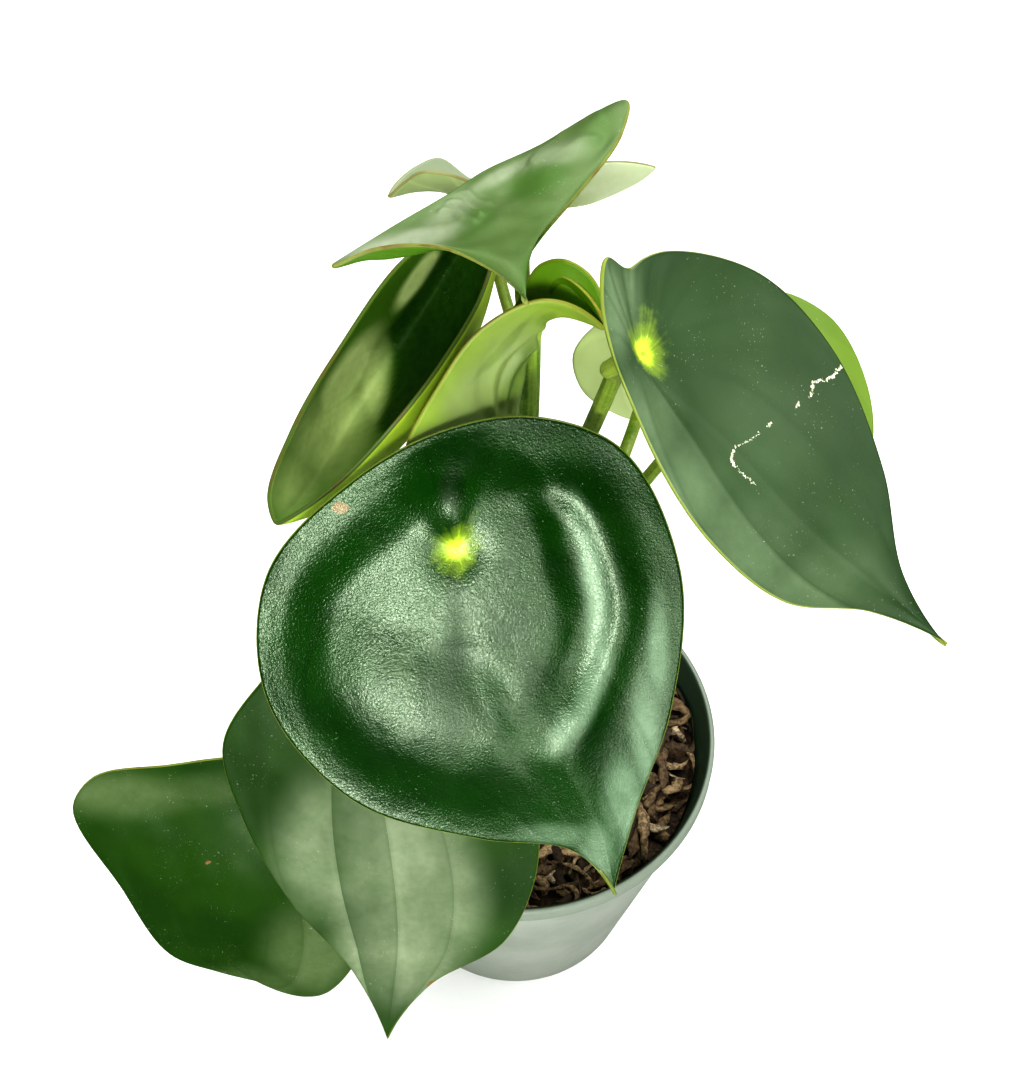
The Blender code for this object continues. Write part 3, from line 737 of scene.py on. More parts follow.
def make_leaf(name, blade, looks, seed):
    """Both faces of a blade, joined in a rounded rim."""
    columns, rows = looks["columns"], looks["rows"]
    crosswise = np.sin(np.linspace(-1, 1, columns + 1) * math.pi / 2)
    lengthwise = (1 - np.cos(np.linspace(0, math.pi, rows + 1))) / 2
    crosswise, lengthwise = (grid.ravel() for grid in np.meshgrid(crosswise, lengthwise))
    points, upward = blade_surface(blade, lengthwise, crosswise)
    on_rim = np.maximum(np.abs(crosswise), np.abs(2 * lengthwise - 1)) > 1 - RIM_TOLERANCE
    rim = np.where(on_rim, 0.0, rim_distance(blade, points))
    veins, spread, across, along = vein_share(blade, lengthwise, crosswise)
    relief = relief_of(looks, seed, points, rim, veins, spread, across, along)
    middle = points + upward * (relief - BLADE_THICKNESS / 2)[:, None]
    half = BLADE_THICKNESS / 2 * np.sqrt(1 - (1 - np.clip(rim / RIM_ROUND, 0, 1)) ** 2)
    upper = middle + upward * half[:, None]
    under = (middle - upward * half[:, None])[~on_rim]

    index = np.arange(len(points))
    below = index.copy()
    below[~on_rim] = len(points) + np.arange(len(under))
    index, below = index.reshape(rows + 1, -1), below.reshape(rows + 1, -1)
    corners = [(slice(0, -1), slice(0, -1)), (slice(0, -1), slice(1, None)),
               (slice(1, None), slice(1, None)), (slice(1, None), slice(0, -1))]
    faces = np.stack([index[corner] for corner in corners], axis=-1).reshape(-1, 4)
    lower_faces = np.stack([below[corner] for corner in reversed(corners)], axis=-1).reshape(-1, 4)
    mesh = smooth_mesh(name, np.vstack([upper, under]), [*faces.tolist(), *lower_faces.tolist()])
    stored = (across, along, rim, veins, spread, *tones_of(looks, points))
    both = [np.concatenate([values, values[~on_rim]]) for values in stored]
    for first, label in ((0, "sheet"), (3, "veins"), (6, "tones")):
        add_attribute(mesh, label, both[first:first + 3])
    mesh.polygons.foreach_set("material_index", np.repeat([0, 1], [len(faces), len(lower_faces)]))
    leaf = add_object(f"{name}_leaf", mesh, leaf_material(name, looks), underside_material(name, looks))
    solids = [f"leaf_{name}"] if name in STALKS else []
    return finished(leaf, looks["slot"], *solids)


def tube_walls(rings, sides, first=0):
    """The faces round a tube of rings that have this many points each, numbered from the first."""
    faces = []
    for ring in range(rings - 1):
        for step in range(sides):
            here, after = (first + ring * sides + turn for turn in (step, (step + 1) % sides))
            faces.append((here, after, after + sides, here + sides))
    return faces


def round_tube(name, points, radii, sides):
    """A closed round tube through these points, with its turn and run stored for the materials."""
    along = np.gradient(points, axis=0)
    along /= np.linalg.norm(along, axis=1, keepdims=True)
    side = np.cross(along[0], STRAND_SIDE)
    turns = np.linspace(0, 2 * math.pi, sides, endpoint=False)
    turn_x, turn_y = np.cos(turns), np.sin(turns)
    rings = []
    for point, ahead, radius in zip(points, along, radii):
        side = side - ahead * np.dot(side, ahead)
        side /= np.linalg.norm(side)
        ring = turn_x[:, None] * side + turn_y[:, None] * np.cross(ahead, side)
        rings.append(point + ring * radius)
    vertices = np.vstack([*rings, points[:1], points[-1:]])
    faces = tube_walls(len(points), sides)
    first, last = len(vertices) - 2, len(vertices) - 1
    end_ring = first - sides
    for step in range(sides):
        after = (step + 1) % sides
        faces.append((first, after, step))
        faces.append((last, end_ring + step, end_ring + after))
    mesh = smooth_mesh(name, vertices, faces)
    run = run_along(points)
    turned_x, turned_y = (np.append(np.tile(turn, len(points)), (0, 0)) for turn in (turn_x, turn_y))
    add_attribute(mesh, "strand", [turned_x, turned_y, np.append(np.repeat(run, sides), (run[0], run[-1]))])
    return mesh


def stem_at(height):
    """The main stem's centre at this height."""
    route, _ = smooth_curve(STEM_ROUTE, np.linspace(0, 1, CURVE_SAMPLES))
    return route[np.argmin(np.abs(route[:, 2] - height))]


def stem_radius_at(height):
    """The main stem's radius at this height, without its joints."""
    bottom, top = STEM_ROUTE[0][2], STEM_ROUTE[-1][2]
    share = (height - bottom) / (top - bottom)
    return STEM_RADIUS * (1 + (STEM_TOP_SHARE - 1) * share)


def make_stem(material):
    """The main stem, a little thicker at each joint where a stalk leaves it."""
    route, _ = smooth_curve(STEM_ROUTE, np.linspace(0, 1, STEM_POINTS))
    radii = np.array([stem_radius_at(point[2]) for point in route])
    for height, _, _ in STALKS.values():
        apart = (route[:, 2] - height + NODE_LENGTH) / NODE_LENGTH
        radii = radii + NODE_SWELL * np.exp(-(apart**2))
    radii[-len(STEM_END):] *= STEM_END
    stem = add_object("main_stem", round_tube("main_stem", route, radii, STEM_SIDES), material)
    return finished(stem, "stem", "stem")


def make_stalk(name, material):
    """From inside the main stem to inside the blade, with a flare at each end."""
    height, radius, via = STALKS[name]
    centre = stem_at(height)
    root = stem_radius_at(height) * STALK_ROOT
    outward = np.asarray(via[0]) - centre
    outward[2] = 0
    outward /= np.linalg.norm(outward)
    start = centre + outward * root
    leave = start + outward * (STALK_LEAVE + root)
    navel, upward = navel_of(BLADES[name])
    end = navel - upward * BLADE_THICKNESS * STALK_END
    arrive = end - upward * STALK_ARRIVE
    shares = (1 - np.cos(np.linspace(0, math.pi, STALK_POINTS))) / 2
    points, _ = smooth_curve([start, leave, *via, arrive, end], shares)
    run = run_along(points)
    foot, head = STALK_FLARE_LENGTHS
    flare = np.exp(-run / foot) + np.exp(-(run[-1] - run) / head)
    radii = radius * (1 + (STALK_TOP_SHARE - 1) * shares + STALK_FLARE * flare)
    piece = add_object(f"{name}_stalk", round_tube(f"{name}_stalk", points, radii, STALK_SIDES), material)
    return finished(piece, "stalk", f"stalk_{name}")


def pot_radius_at(height):
    """The outer wall's radius at this height, below the lip."""
    share = height / POT_HEIGHT
    return POT_BASE_RADIUS + (POT_RIM_RADIUS - POT_LIP_STEP - POT_BASE_RADIUS) * share


def turned(name, profile, steps, material):
    """A profile of (radius, height) turned about the Z axis. It runs so that its faces look outwards."""
    mesh = bpy.data.meshes.new(name)
    corners = [(radius, 0, height) for radius, height in profile]
    mesh.from_pydata(corners, [(i, i + 1) for i in range(len(profile) - 1)], [])
    obj = add_object(name, mesh, material)
    screw = obj.modifiers.new("turn", "SCREW")
    screw.steps = steps
    screw.render_steps = steps
    screw.use_merge_vertices = True
    screw.merge_threshold = MERGE_GAP
    return obj


def applied(obj):
    """Make the object's modifiers real."""
    graph = bpy.context.evaluated_depsgraph_get()
    obj.data = bpy.data.meshes.new_from_object(obj.evaluated_get(graph))
    obj.modifiers.clear()


def make_pot(material):
    """The thin-walled pot with its lip, its foot and the drain holes in its floor."""
    lip_foot = POT_HEIGHT - POT_LIP_HEIGHT
    inner_top = POT_RIM_RADIUS - POT_WALL - POT_LIP_STEP
    profile = [
        (0, POT_FLOOR),
        (pot_radius_at(POT_FLOOR) - POT_WALL, POT_FLOOR),
        (inner_top, POT_HEIGHT - POT_LIP_STEP),
        (inner_top + POT_LIP_STEP, POT_HEIGHT),
        (POT_RIM_RADIUS - POT_LIP_STEP, POT_HEIGHT),
        (POT_RIM_RADIUS, POT_HEIGHT - POT_LIP_STEP),
        (POT_RIM_RADIUS, lip_foot + POT_LIP_STEP),
        (pot_radius_at(lip_foot), lip_foot),
        (pot_radius_at(POT_FOOT), POT_FOOT),
        (pot_radius_at(0) - POT_FOOT, 0),
        (0, 0),
    ]
    pot = turned("nursery_pot", profile, POT_STEPS, material)
    cutters = []
    for index in range(DRAIN_HOLES):
        angle = 2 * math.pi * (index + 0.5) / DRAIN_HOLES
        shape = bmesh.new()
        bmesh.ops.create_cone(shape, cap_ends=True, segments=DRAIN_SIDES, radius1=DRAIN_RADIUS,
                              radius2=DRAIN_RADIUS, depth=DRAIN_DEPTH)
        mesh = bpy.data.meshes.new("drain_cutter")
        shape.to_mesh(mesh)
        shape.free()
        cutter = add_object("drain_cutter", mesh)
        cutter.location = (DRAIN_CIRCLE * math.cos(angle), DRAIN_CIRCLE * math.sin(angle), 0)
        cut = pot.modifiers.new("drain", "BOOLEAN")
        cut.object = cutter
        cutters.append(cutter)
    applied(pot)
    for cutter in cutters:
        bpy.data.objects.remove(cutter)
    pot.data.shade_smooth()
    pot.data.set_sharp_from_angle(angle=SHARP_ANGLE)
    return finished(pot, "pot", "pot")


def soil_height(x, y):
    """The level of the bed that the bark lies on."""
    coarse = noise.noise(Vector((x, y, 0)) / SOIL_GRAIN)
    fine = noise.noise(Vector((x, y, SOIL_LEVEL)) / SOIL_FINE_GRAIN)
    return SOIL_LEVEL + SOIL_RELIEF * (coarse + SOIL_FINE_SHARE * fine)


def make_soil(material):
    """The dark bed under the bark, filling the pot."""
    bottom = POT_FLOOR + SOIL_GAP
    side = POT_WALL + SOIL_GAP
    brim = pot_radius_at(SOIL_LEVEL) - side
    rings = [(brim * ring / SOIL_RINGS, SOIL_LEVEL) for ring in range(SOIL_RINGS + 1)]
    soil = turned("soil_bed", [*rings, (pot_radius_at(bottom) - side, bottom), (0, bottom)], SOIL_STEPS,
                  material)
    applied(soil)
    for vertex in soil.data.vertices:
        x, y, z = vertex.co
        if z > SOIL_LEVEL / 2:
            vertex.co.z = soil_height(x, y)
    soil.data.shade_smooth()
    return finished(soil, "soil", "soil")


def bark_strip(draw, reach):
    """One curled strip of bark or fibre: its ring points and the tone that colours it."""
    slender = draw.random() ** BARK_SLENDERNESS
    length = BARK_LENGTH[0] + BARK_LENGTH[1] * draw.random()
    width = BARK_WIDTH[0] + BARK_WIDTH[1] * slender
    thick = width * (BARK_FLATNESS[0] + BARK_FLATNESS[1] * draw.random())
    heading = draw.uniform(0, 2 * math.pi)
    curl, rise = draw.normal(0, (BARK_CURL, BARK_SLANT))
    arch = draw.uniform(*BARK_ARCH)
    roll = draw.normal(0, BARK_ROLL)
    radius = reach * draw.random() ** BARK_SPREAD
    bearing = draw.uniform(0, 2 * math.pi)
    middle = np.array([radius * math.cos(bearing), radius * math.sin(bearing), 0])
    middle[2] = soil_height(*middle[:2]) + draw.uniform(*BARK_LIE)
    shares = np.linspace(-1, 1, BARK_RINGS)
    turn = heading + curl * shares
    steps = np.stack([np.cos(turn), np.sin(turn), rise - arch * shares], axis=1) * length / (BARK_RINGS - 1)
    spine = middle + np.cumsum(steps, axis=0) - np.sum(steps, axis=0) / 2
    tangents = steps / np.linalg.norm(steps, axis=1, keepdims=True)
    rings = []
    for share, point, ahead in zip(shares, spine, tangents):
        flat = np.cross((0, 0, 1), ahead)
        flat /= np.linalg.norm(flat)
        normal = np.cross(ahead, flat)
        tilt = roll + BARK_TWIST * curl * share
        across = flat * math.cos(tilt) + normal * math.sin(tilt)
        upright = normal * math.cos(tilt) - flat * math.sin(tilt)
        taper = math.sqrt(max(BARK_POINT, 1 - share**4)) * (1 + BARK_UNEVEN * draw.normal())
        for corner in np.linspace(0, 2 * math.pi, BARK_SIDES, endpoint=False):
            rough = 1 + BARK_ROUGH * draw.normal()
            rings.append(point + (across * math.cos(corner) * width / 2
                                  + upright * math.sin(corner) * thick / 2) * taper * rough)
    return np.array(rings), draw.random()


def make_bark(material):
    """Strips of bark and fibre heaped on the bed, as one piece."""
    draw = np.random.default_rng(BARK_SEED)
    wall = pot_radius_at(SOIL_LEVEL) - POT_WALL - SOIL_GAP
    vertices, faces, tones = [], [], []
    for _ in range(BARK_STRIPS):
        points, tone = bark_strip(draw, wall - BARK_MARGIN)
        away = np.hypot(points[:, 0], points[:, 1])
        points[:, :2] *= np.minimum(1, wall / away)[:, None]
        start = len(vertices)
        vertices.extend(points)
        tones.extend([tone] * len(points))
        faces.extend(tube_walls(BARK_RINGS, BARK_SIDES, start))
        faces.append(tuple(start + step for step in reversed(range(BARK_SIDES))))
        faces.append(tuple(range(len(vertices) - BARK_SIDES, len(vertices))))
    mesh = smooth_mesh("bark_strips", vertices, faces)
    add_attribute(mesh, "tone", [tones, tones, tones])
    return finished(add_object("bark_strips", mesh, material), "soil")


def on_leaf(leaf, across, down):
    """The point of this leaf that the photograph shows at this pixel, and the way out from it there."""
    ahead = Vector(seen(across, down, 1.0)) - Vector(VIEW_POINT)
    _, point, outward, _ = leaf.ray_cast(Vector(VIEW_POINT), ahead.normalized())
    return np.array(point), np.array(outward)


def make_scar(leaf, material):
    """Crumbs of dry pale crust along a scratch across the leaf, half sunk in it."""
    draw = np.random.default_rng(SCAR_SEED)
    crumb = bmesh.new()
    bmesh.ops.create_icosphere(crumb, subdivisions=2, radius=1.0)
    ball = np.array([vertex.co for vertex in crumb.verts])
    sides = [[vertex.index for vertex in face.verts] for face in crumb.faces]
    crumb.free()
    smallest, largest = SCAR_SIZES
    vertices, faces = [], []
    for share in np.linspace(0, 1, SCAR_CRUMBS):
        thick = max((thick for start, end, thick in SCAR_STRETCHES if start <= share <= end), default=0)
        if not thick:
            continue
        place, _ = smooth_curve(SCAR_ROUTE, np.array([share]))
        across, down = place[0] + draw.normal(0, SCAR_SPREAD, 2)
        point, outward = on_leaf(leaf, across, down)
        size = (smallest + (largest - smallest) * draw.random() ** 2) * thick
        shape = ball * size * (1 + SCAR_LUMPS * draw.normal(size=(len(ball), 1)))
        flat = shape - np.outer(shape @ outward, outward) * SCAR_FLATNESS
        start = len(vertices)
        vertices.extend(point + flat)
        faces.extend([[start + corner for corner in side] for side in sides])
    return finished(add_object("leaf_scar", smooth_mesh("leaf_scar", vertices, faces), material), "leaf")


# Materials


class Nodes:
    """The nodes of one material, world or shader group."""

    def __init__(self, tree):
        self.tree = tree

    def fill(self, node, inputs):
        """An input that is given a socket is linked to it, and another takes the value."""
        for key, value in inputs.items():
            if isinstance(value, bpy.types.NodeSocket):
                self.tree.links.new(value, node.inputs[key])
            else:
                node.inputs[key].default_value = value
        return node

    def place(self, kind, inputs, **settings):
        """A new node of this kind, with these inputs and settings."""
        node = self.tree.nodes.new("ShaderNode" + kind)
        for name, value in settings.items():
            setattr(node, name, value)
        return self.fill(node, inputs)

    def group(self, group, inputs):
        """What the group puts out for these values."""
        return self.place("Group", inputs, node_tree=group).outputs

    def maths(self, operation, *values):
        return self.place("Math", dict(enumerate(values)), operation=operation).outputs[0]

    def plus(self, first, second):
        return self.maths("ADD", first, second)

    def times(self, first, second):
        return self.maths("MULTIPLY", first, second)

    def line(self, value, slope, start):
        """The value times the slope, on top of the start."""
        return self.maths("MULTIPLY_ADD", value, slope, start)

    def length(self, x, y):
        return self.maths("SQRT", self.plus(self.times(x, x), self.times(y, y)))

    def joined(self, x, y, z):
        return self.place("CombineXYZ", {0: x, 1: y, 2: z}).outputs[0]

    def parted(self, vector):
        return self.place("SeparateXYZ", {0: vector}).outputs

    def faded(self, value, start, end):
        """0 where the value is at start and 1 where it is at end, with soft ends."""
        limits = {"Value": value, "From Min": start, "From Max": end}
        return self.place("MapRange", limits, interpolation_type="SMOOTHSTEP").outputs["Result"]

    def mixed(self, share, first, second):
        """The first colour, with this share of the second in it."""
        return self.place("Mix", {0: share, 6: first, 7: second}, data_type="RGBA").outputs[2]

    def grained(self, place, size, detail=2.0, roughness=0.5, distortion=0.0):
        """Noise from 0 to 1 with lumps of this size."""
        inputs = {"Vector": place, "Scale": 1 / size, "Detail": detail, "Roughness": roughness,
                  "Distortion": distortion}
        return self.place("TexNoise", inputs).outputs["Fac"]

    def object_place(self):
        """Where on its object a point lies, in metres."""
        return self.place("TexCoord", {}).outputs["Object"]

    def mirrored(self):
        """1 where a glossy surface mirrors what is coloured here, and 0 where it is seen or lights."""
        return self.place("LightPath", {}).outputs["Is Glossy Ray"]

    def stored(self, name):
        """The three numbers kept at the vertices under this name."""
        return self.parted(self.place("Attribute", {}, attribute_name=name).outputs["Vector"])


def new_group(name, inputs, outputs):
    """An empty shader group with these sockets of each kind: its nodes, what it is given and its output."""
    tree = bpy.data.node_groups.new(name, "ShaderNodeTree")
    for way, sockets in (("INPUT", inputs), ("OUTPUT", outputs)):
        for kind, labels in sockets.items():
            for label in labels:
                tree.interface.new_socket(label, in_out=way, socket_type="NodeSocket" + kind)
    given = tree.nodes.new("NodeGroupInput").outputs
    return Nodes(tree), given, tree.nodes.new("NodeGroupOutput")


# Lumps of colour on a leaf, and lumps that break up the navel, the edges of spots and the brown rim.
LEAF_PATCH = 0.022
LEAF_CLOUD = 0.010
LEAF_SPECKLE = 0.0016
NAVEL_BLOT = 0.0022
SPOT_CRUMB = 0.0014
RIM_STRETCH = 0.006
# How far from a vein, and from the middle of the navel, their colour starts and is full.
VEIN_EDGES = (0.0009, 0.0001)
EYE_EDGES = (0.0013, 0.0008)
EYE_RAGGED = 0.0012
EYE_SHARE = 0.6
# The navel's glow: the size of its rays round it, how far in it is full, how far out its halo reaches,
# both beside its own size, and how strong the halo is beside it.
NAVEL_RAY = 0.22
NAVEL_CORE = 0.35
HALO_REACH = 2.1
HALO_SHARE = 0.45
# Where a spot and a brown stretch of the rim start and are full in the noise that breaks them up.
SPOT_EDGES = (0.75, 0.95)
RIM_EDGES = (0.45, 0.7)
# The skin's pebbles and dimples, and the patches of dust and the flecks in them.
SKIN_PEBBLE = 0.00042
SKIN_DIMPLE = 0.0022
DUST_PATCH = 0.009
DUST_FLECK = 0.00040
# Streaks between the midrib and the back of the navel, and for each metre outwards.
STREAKS_ACROSS = 14.0
STREAKS_ALONG = 70.0
# This sets the strips on the blade's left apart from those on its right, which share their numbers.
OTHER_SIDE = 20.5
# Stripes of a strand: their width, for a strand of radius 1, and how much the run counts beside it.
STRIPE_WIDTH = 0.45
STRIPE_SHORTNESS = 12.0
# Where the painted shade inside the pot starts and is full, inwards from its outer wall and up from its foot.
POT_INSIDE_SHADE = (0.0001, 0.0009)
POT_INSIDE_SHADE_FOOT = (0.001, 0.004)
# How far above the lip's foot the painted shade on the lip band comes in full.
POT_LIP_EDGE = 0.0008
POT_SCUFF = 0.004
POT_MARKS = 5200.0
BARK_FIBRE = 0.0011
BARK_FIBRE_RISE = 0.0006


def leaf_colour_group():
    """The colour of a blade: green with painted sheen and light, painted shade, brown places, veins, a
    glowing navel and a rim.

    Streaks is how the fibres run from the navel, for the roughness.
    """
    on, given, made = new_group(
        "leaf colour",
        {"Color": ["Green", "Deep Green", "Patch", "Shade", "Navel", "Vein", "Rim"],
         "Float": ["Navel Size", "Navel Stretch", "Navel Share", "Vein Share", "Panels", "Brown",
                   "Rim Width"]},
        {"Color": ["Color"], "Float": ["Streaks"]})
    place = on.object_place()
    across, along, rim = on.stored("sheet")
    vein, spread, _ = on.stored("veins")
    pale, shaded, spotted = on.stored("tones")

    patches = on.faded(on.grained(place, LEAF_PATCH, 3.0), 0.35, 0.65)
    colour = on.mixed(patches, given["Deep Green"], given["Green"])
    away = on.length(across, along)
    course = on.joined(on.times(vein, STREAKS_ACROSS), on.times(away, STREAKS_ALONG), on.parted(place)[2])
    streaks = on.grained(course, 1.0, 4.0)
    clouds = on.line(streaks, 0.4, on.grained(place, LEAF_CLOUD, 4.0))
    side = on.times(on.maths("SIGN", across), OTHER_SIDE)
    strip = on.plus(on.maths("FLOOR", on.maths("DIVIDE", vein, VEIN_STEP)), side)
    panel = on.place("TexWhiteNoise", {"W": strip}, noise_dimensions="1D").outputs["Value"]
    # Painted sheen and light in the Patch colour, varied strip by strip, then painted shade in the Shade
    # colour.
    panel = on.line(on.maths("SUBTRACT", panel, 0.5), given["Panels"], 1.0)
    pale = on.times(on.times(pale, on.line(clouds, 1.1, 0.2)), panel)
    colour = on.mixed(pale, colour, given["Patch"])
    shaded = on.times(shaded, on.line(clouds, 0.2, 0.8))
    colour = on.mixed(shaded, colour, given["Shade"])
    colour = on.mixed(on.times(on.grained(place, LEAF_SPECKLE, 3.0), 0.35), colour, given["Green"])

    off_vein = on.times(on.maths("PINGPONG", vein, VEIN_STEP / 2), spread)
    veined = on.times(on.faded(off_vein, *VEIN_EDGES), given["Vein Share"])
    colour = on.mixed(veined, colour, given["Vein"])

    direction = on.joined(on.maths("DIVIDE", across, away), on.maths("DIVIDE", along, away), 0.0)
    rays = on.grained(direction, NAVEL_RAY, 3.0, 0.6)
    blots = on.grained(place, NAVEL_BLOT)
    stretched = on.length(on.times(across, given["Navel Stretch"]), along)
    ragged = on.times(stretched, on.plus(on.plus(0.1, rays), blots))
    glow = on.faded(ragged, given["Navel Size"], on.times(given["Navel Size"], NAVEL_CORE))
    halo = on.faded(ragged, on.times(given["Navel Size"], HALO_REACH), 0.0)
    colour = on.mixed(on.times(halo, on.times(given["Navel Share"], HALO_SHARE)), colour, given["Navel"])
    colour = on.mixed(on.times(glow, given["Navel Share"]), colour, given["Navel"])
    eye = on.faded(on.line(blots, EYE_RAGGED, away), *EYE_EDGES)
    colour = on.mixed(on.times(eye, on.times(given["Navel Share"], EYE_SHARE)), colour, EYE_GREEN)

    ragged = on.plus(spotted, on.times(on.grained(place, SPOT_CRUMB), 0.5))
    colour = on.mixed(on.faded(ragged, *SPOT_EDGES), colour, SPOT_BROWN)
    browned = on.times(on.faded(on.grained(place, RIM_STRETCH), *RIM_EDGES), given["Brown"])
    edge = on.mixed(browned, given["Rim"], RIM_BROWN)
    colour = on.mixed(on.faded(rim, given["Rim Width"], on.times(given["Rim Width"], 0.6)), colour, edge)
    on.fill(made, {"Color": colour, "Streaks": streaks})
    return on.tree


def leaf_skin_group():
    """The pebbled skin of a leaf and the pale flecks of old sap and dust on it."""
    on, given, made = new_group("leaf skin", {"Float": ["Flecks"]}, {"Float": ["Height", "Fleck Mask"]})
    place = on.object_place()
    pebbles = on.grained(place, SKIN_PEBBLE, 2.0, 0.55, 0.6)
    height = on.plus(pebbles, on.times(on.grained(place, SKIN_DIMPLE), 0.6))
    where = on.faded(on.grained(place, DUST_PATCH), 0.48, 0.62)
    specks = on.faded(on.grained(place, DUST_FLECK, 1.0, 0.4), 0.70, 0.77)
    on.fill(made, {"Height": height, "Fleck Mask": on.times(on.times(specks, where), given["Flecks"])})
    return on.tree


def mottle_group():
    """Two tones in soft patches with a finer grain over them, for the plainer surfaces."""
    on, given, made = new_group(
        "mottle", {"Color": ["Light", "Dark"], "Vector": ["Place"], "Float": ["Patch Scale", "Grain Scale"]},
        {"Color": ["Color"], "Float": ["Grain"]})

    def lumps(scale, detail):
        inputs = {"Vector": given["Place"], "Scale": given[scale], "Detail": detail}
        return on.place("TexNoise", inputs).outputs["Fac"]

    patches, grain = lumps("Patch Scale", 3.0), lumps("Grain Scale", 2.0)
    both = on.plus(on.times(patches, 0.7), on.times(grain, 0.3))
    colour = on.mixed(on.faded(both, 0.38, 0.62), given["Dark"], given["Light"])
    on.fill(made, {"Color": colour, "Grain": grain})
    return on.tree


LEAF_COLOUR = leaf_colour_group()
LEAF_SKIN = leaf_skin_group()
MOTTLE = mottle_group()


class Finish(Nodes):
    """A new material, and what its surface is given."""

    def __init__(self, name):
        self.material = bpy.data.materials.new(name)
        self.material.use_nodes = True
        super().__init__(self.material.node_tree)
        self.shader = self.tree.nodes["Principled BSDF"]

    def mottle(self, light, dark, patches, grains):
        """Two tones, with this many patches and grains to the metre."""
        return self.group(MOTTLE, {"Light": display(*light), "Dark": display(*dark), "Patch Scale": patches,
                                   "Grain Scale": grains, "Place": self.object_place()})

    def given(self, colour, roughness):
        """The material, with this colour and roughness."""
        self.fill(self.shader, {"Base Color": colour, "Roughness": roughness})
        return self.material

    def bumped(self, height, rise):
        """Relief too fine for the mesh, with this many metres from low to high."""
        bump = self.place("Bump", {"Height": height, "Strength": 1.0, "Distance": rise})
        self.fill(self.shader, {"Normal": bump.outputs["Normal"]})


def tint(looks, *names):
    """The first of these colours that the looks have, as a shader takes it."""
    return display(*next(looks[name] for name in names if name in looks))


def toned(colour, share):
    """A shader's colour with this share of its light."""
    return (*(min(1.0, part * share) for part in colour[:3]), 1.0)


def leaf_material(name, looks):
    """The upper face, rougher where it is dusty, streaked or worn."""
    on = Finish(f"leaf {name}")
    # Patch and Shade carry the painted sheen and light and the painted shade.
    colours = on.group(LEAF_COLOUR, {
        "Green": tint(looks, "green"), "Deep Green": tint(looks, "deep"),
        "Patch": tint(looks, "patch", "green"), "Shade": tint(looks, "shade", "deep"),
        "Navel": NAVEL_YELLOW, "Navel Size": looks["navel size"],
        "Navel Stretch": looks["navel stretch"], "Navel Share": looks["navel share"],
        "Vein": tint(looks, "deep"), "Vein Share": looks.get("vein share", UPPER_VEINS),
        "Panels": looks["panels"], "Rim": tint(looks, "rim"), "Brown": looks["brown"],
        "Rim Width": looks["rim width"]})
    skin = on.group(LEAF_SKIN, {"Flecks": looks["flecks"]})
    _, _, dulled = on.stored("veins")
    roughness = on.plus(looks["roughness"] - 0.07, on.times(skin["Fleck Mask"], 0.4))
    roughness = on.line(dulled, 0.16, on.line(colours["Streaks"], 0.14, roughness))
    on.bumped(skin["Height"], looks["grain"])
    on.fill(on.shader, {"Specular Tint": SHEEN_TINT, "Specular IOR Level": looks["gloss"]})
    return on.given(on.mixed(skin["Fleck Mask"], colours["Color"], FLECK_PALE), roughness)


def underside_material(name, looks):
    """The paler, duller underside, with veins that show light."""
    on = Finish(f"underside {name}")
    green = tint(looks, "under")
    # The underside's painted shade; its painted light is the under patch colour.
    shade = tint(looks, "under shade") if "under shade" in looks else toned(green, UNDER_SHADE)
    pale = toned(green, UNDER_PALE)
    colours = on.group(LEAF_COLOUR, {
        "Green": green, "Deep Green": toned(green, UNDER_DEEP), "Patch": tint(looks, "under patch", "under"),
        "Shade": shade, "Navel": pale, "Navel Size": 0.004, "Navel Stretch": 1.0, "Navel Share": 0.3,
        "Vein": pale, "Vein Share": looks.get("vein share", UNDER_VEINS), "Panels": 0.0,
        "Rim": tint(looks, "rim"), "Brown": looks["brown"], "Rim Width": looks["rim width"]})
    on.bumped(on.group(LEAF_SKIN, {"Flecks": 0.1})["Height"], 0.00002)
    return on.given(colours["Color"], 0.48)


def strand_material(name, light, dark):
    """Green strand with lengthwise stripes."""
    on = Finish(name)
    turn_x, turn_y, run = on.stored("strand")
    wrapped = on.joined(turn_x, turn_y, on.times(run, STRIPE_SHORTNESS))
    stripes = on.faded(on.grained(wrapped, STRIPE_WIDTH), 0.40, 0.62)
    mottle = on.mottle(light, dark, 120.0, 1400.0)
    on.bumped(on.plus(stripes, mottle["Grain"]), 0.00008)
    return on.given(on.mixed(on.times(stripes, 0.6), mottle["Color"], display(*light)), 0.36)


def pot_material():
    """Soft green moulded plastic with faint turning marks and scuffs, with painted shade inside it and on its
    lip band.
    """
    on = Finish("sage plastic")
    place = on.object_place()
    mottle = on.mottle((156, 163, 151), (144, 152, 139), 45.0, 1800.0)
    x, y, height = on.parted(place)
    slope = (pot_radius_at(POT_HEIGHT) - POT_BASE_RADIUS) / POT_HEIGHT
    depth = on.maths("SUBTRACT", on.line(height, slope, POT_BASE_RADIUS), on.length(x, y))
    inside = on.times(on.faded(depth, *POT_INSIDE_SHADE), on.faded(height, *POT_INSIDE_SHADE_FOOT))
    # Painted shade: half a share of a darker green on the lip band, and a dark green inside the wall.
    lip_shade = on.faded(height, POT_HEIGHT - POT_LIP_HEIGHT, POT_HEIGHT - POT_LIP_HEIGHT + POT_LIP_EDGE)
    colour = on.mixed(on.times(lip_shade, 0.5), mottle["Color"], display(98, 114, 96))
    colour = on.mixed(inside, colour, display(38, 56, 40))
    marks = on.maths("SINE", on.times(height, POT_MARKS))
    on.bumped(on.plus(on.times(marks, 0.15), mottle["Grain"]), 0.00003)
    return on.given(colour, on.plus(0.38, on.times(on.grained(place, POT_SCUFF, 5.0, 0.7), 0.22)))


def bed_material():
    """Damp dark crumbs between the strips of bark."""
    on = Finish("damp bed")
    mottle = on.mottle((92, 70, 46), (38, 27, 18), 260.0, 1100.0)
    on.bumped(mottle["Grain"], 0.0012)
    return on.given(mottle["Color"], 0.85)


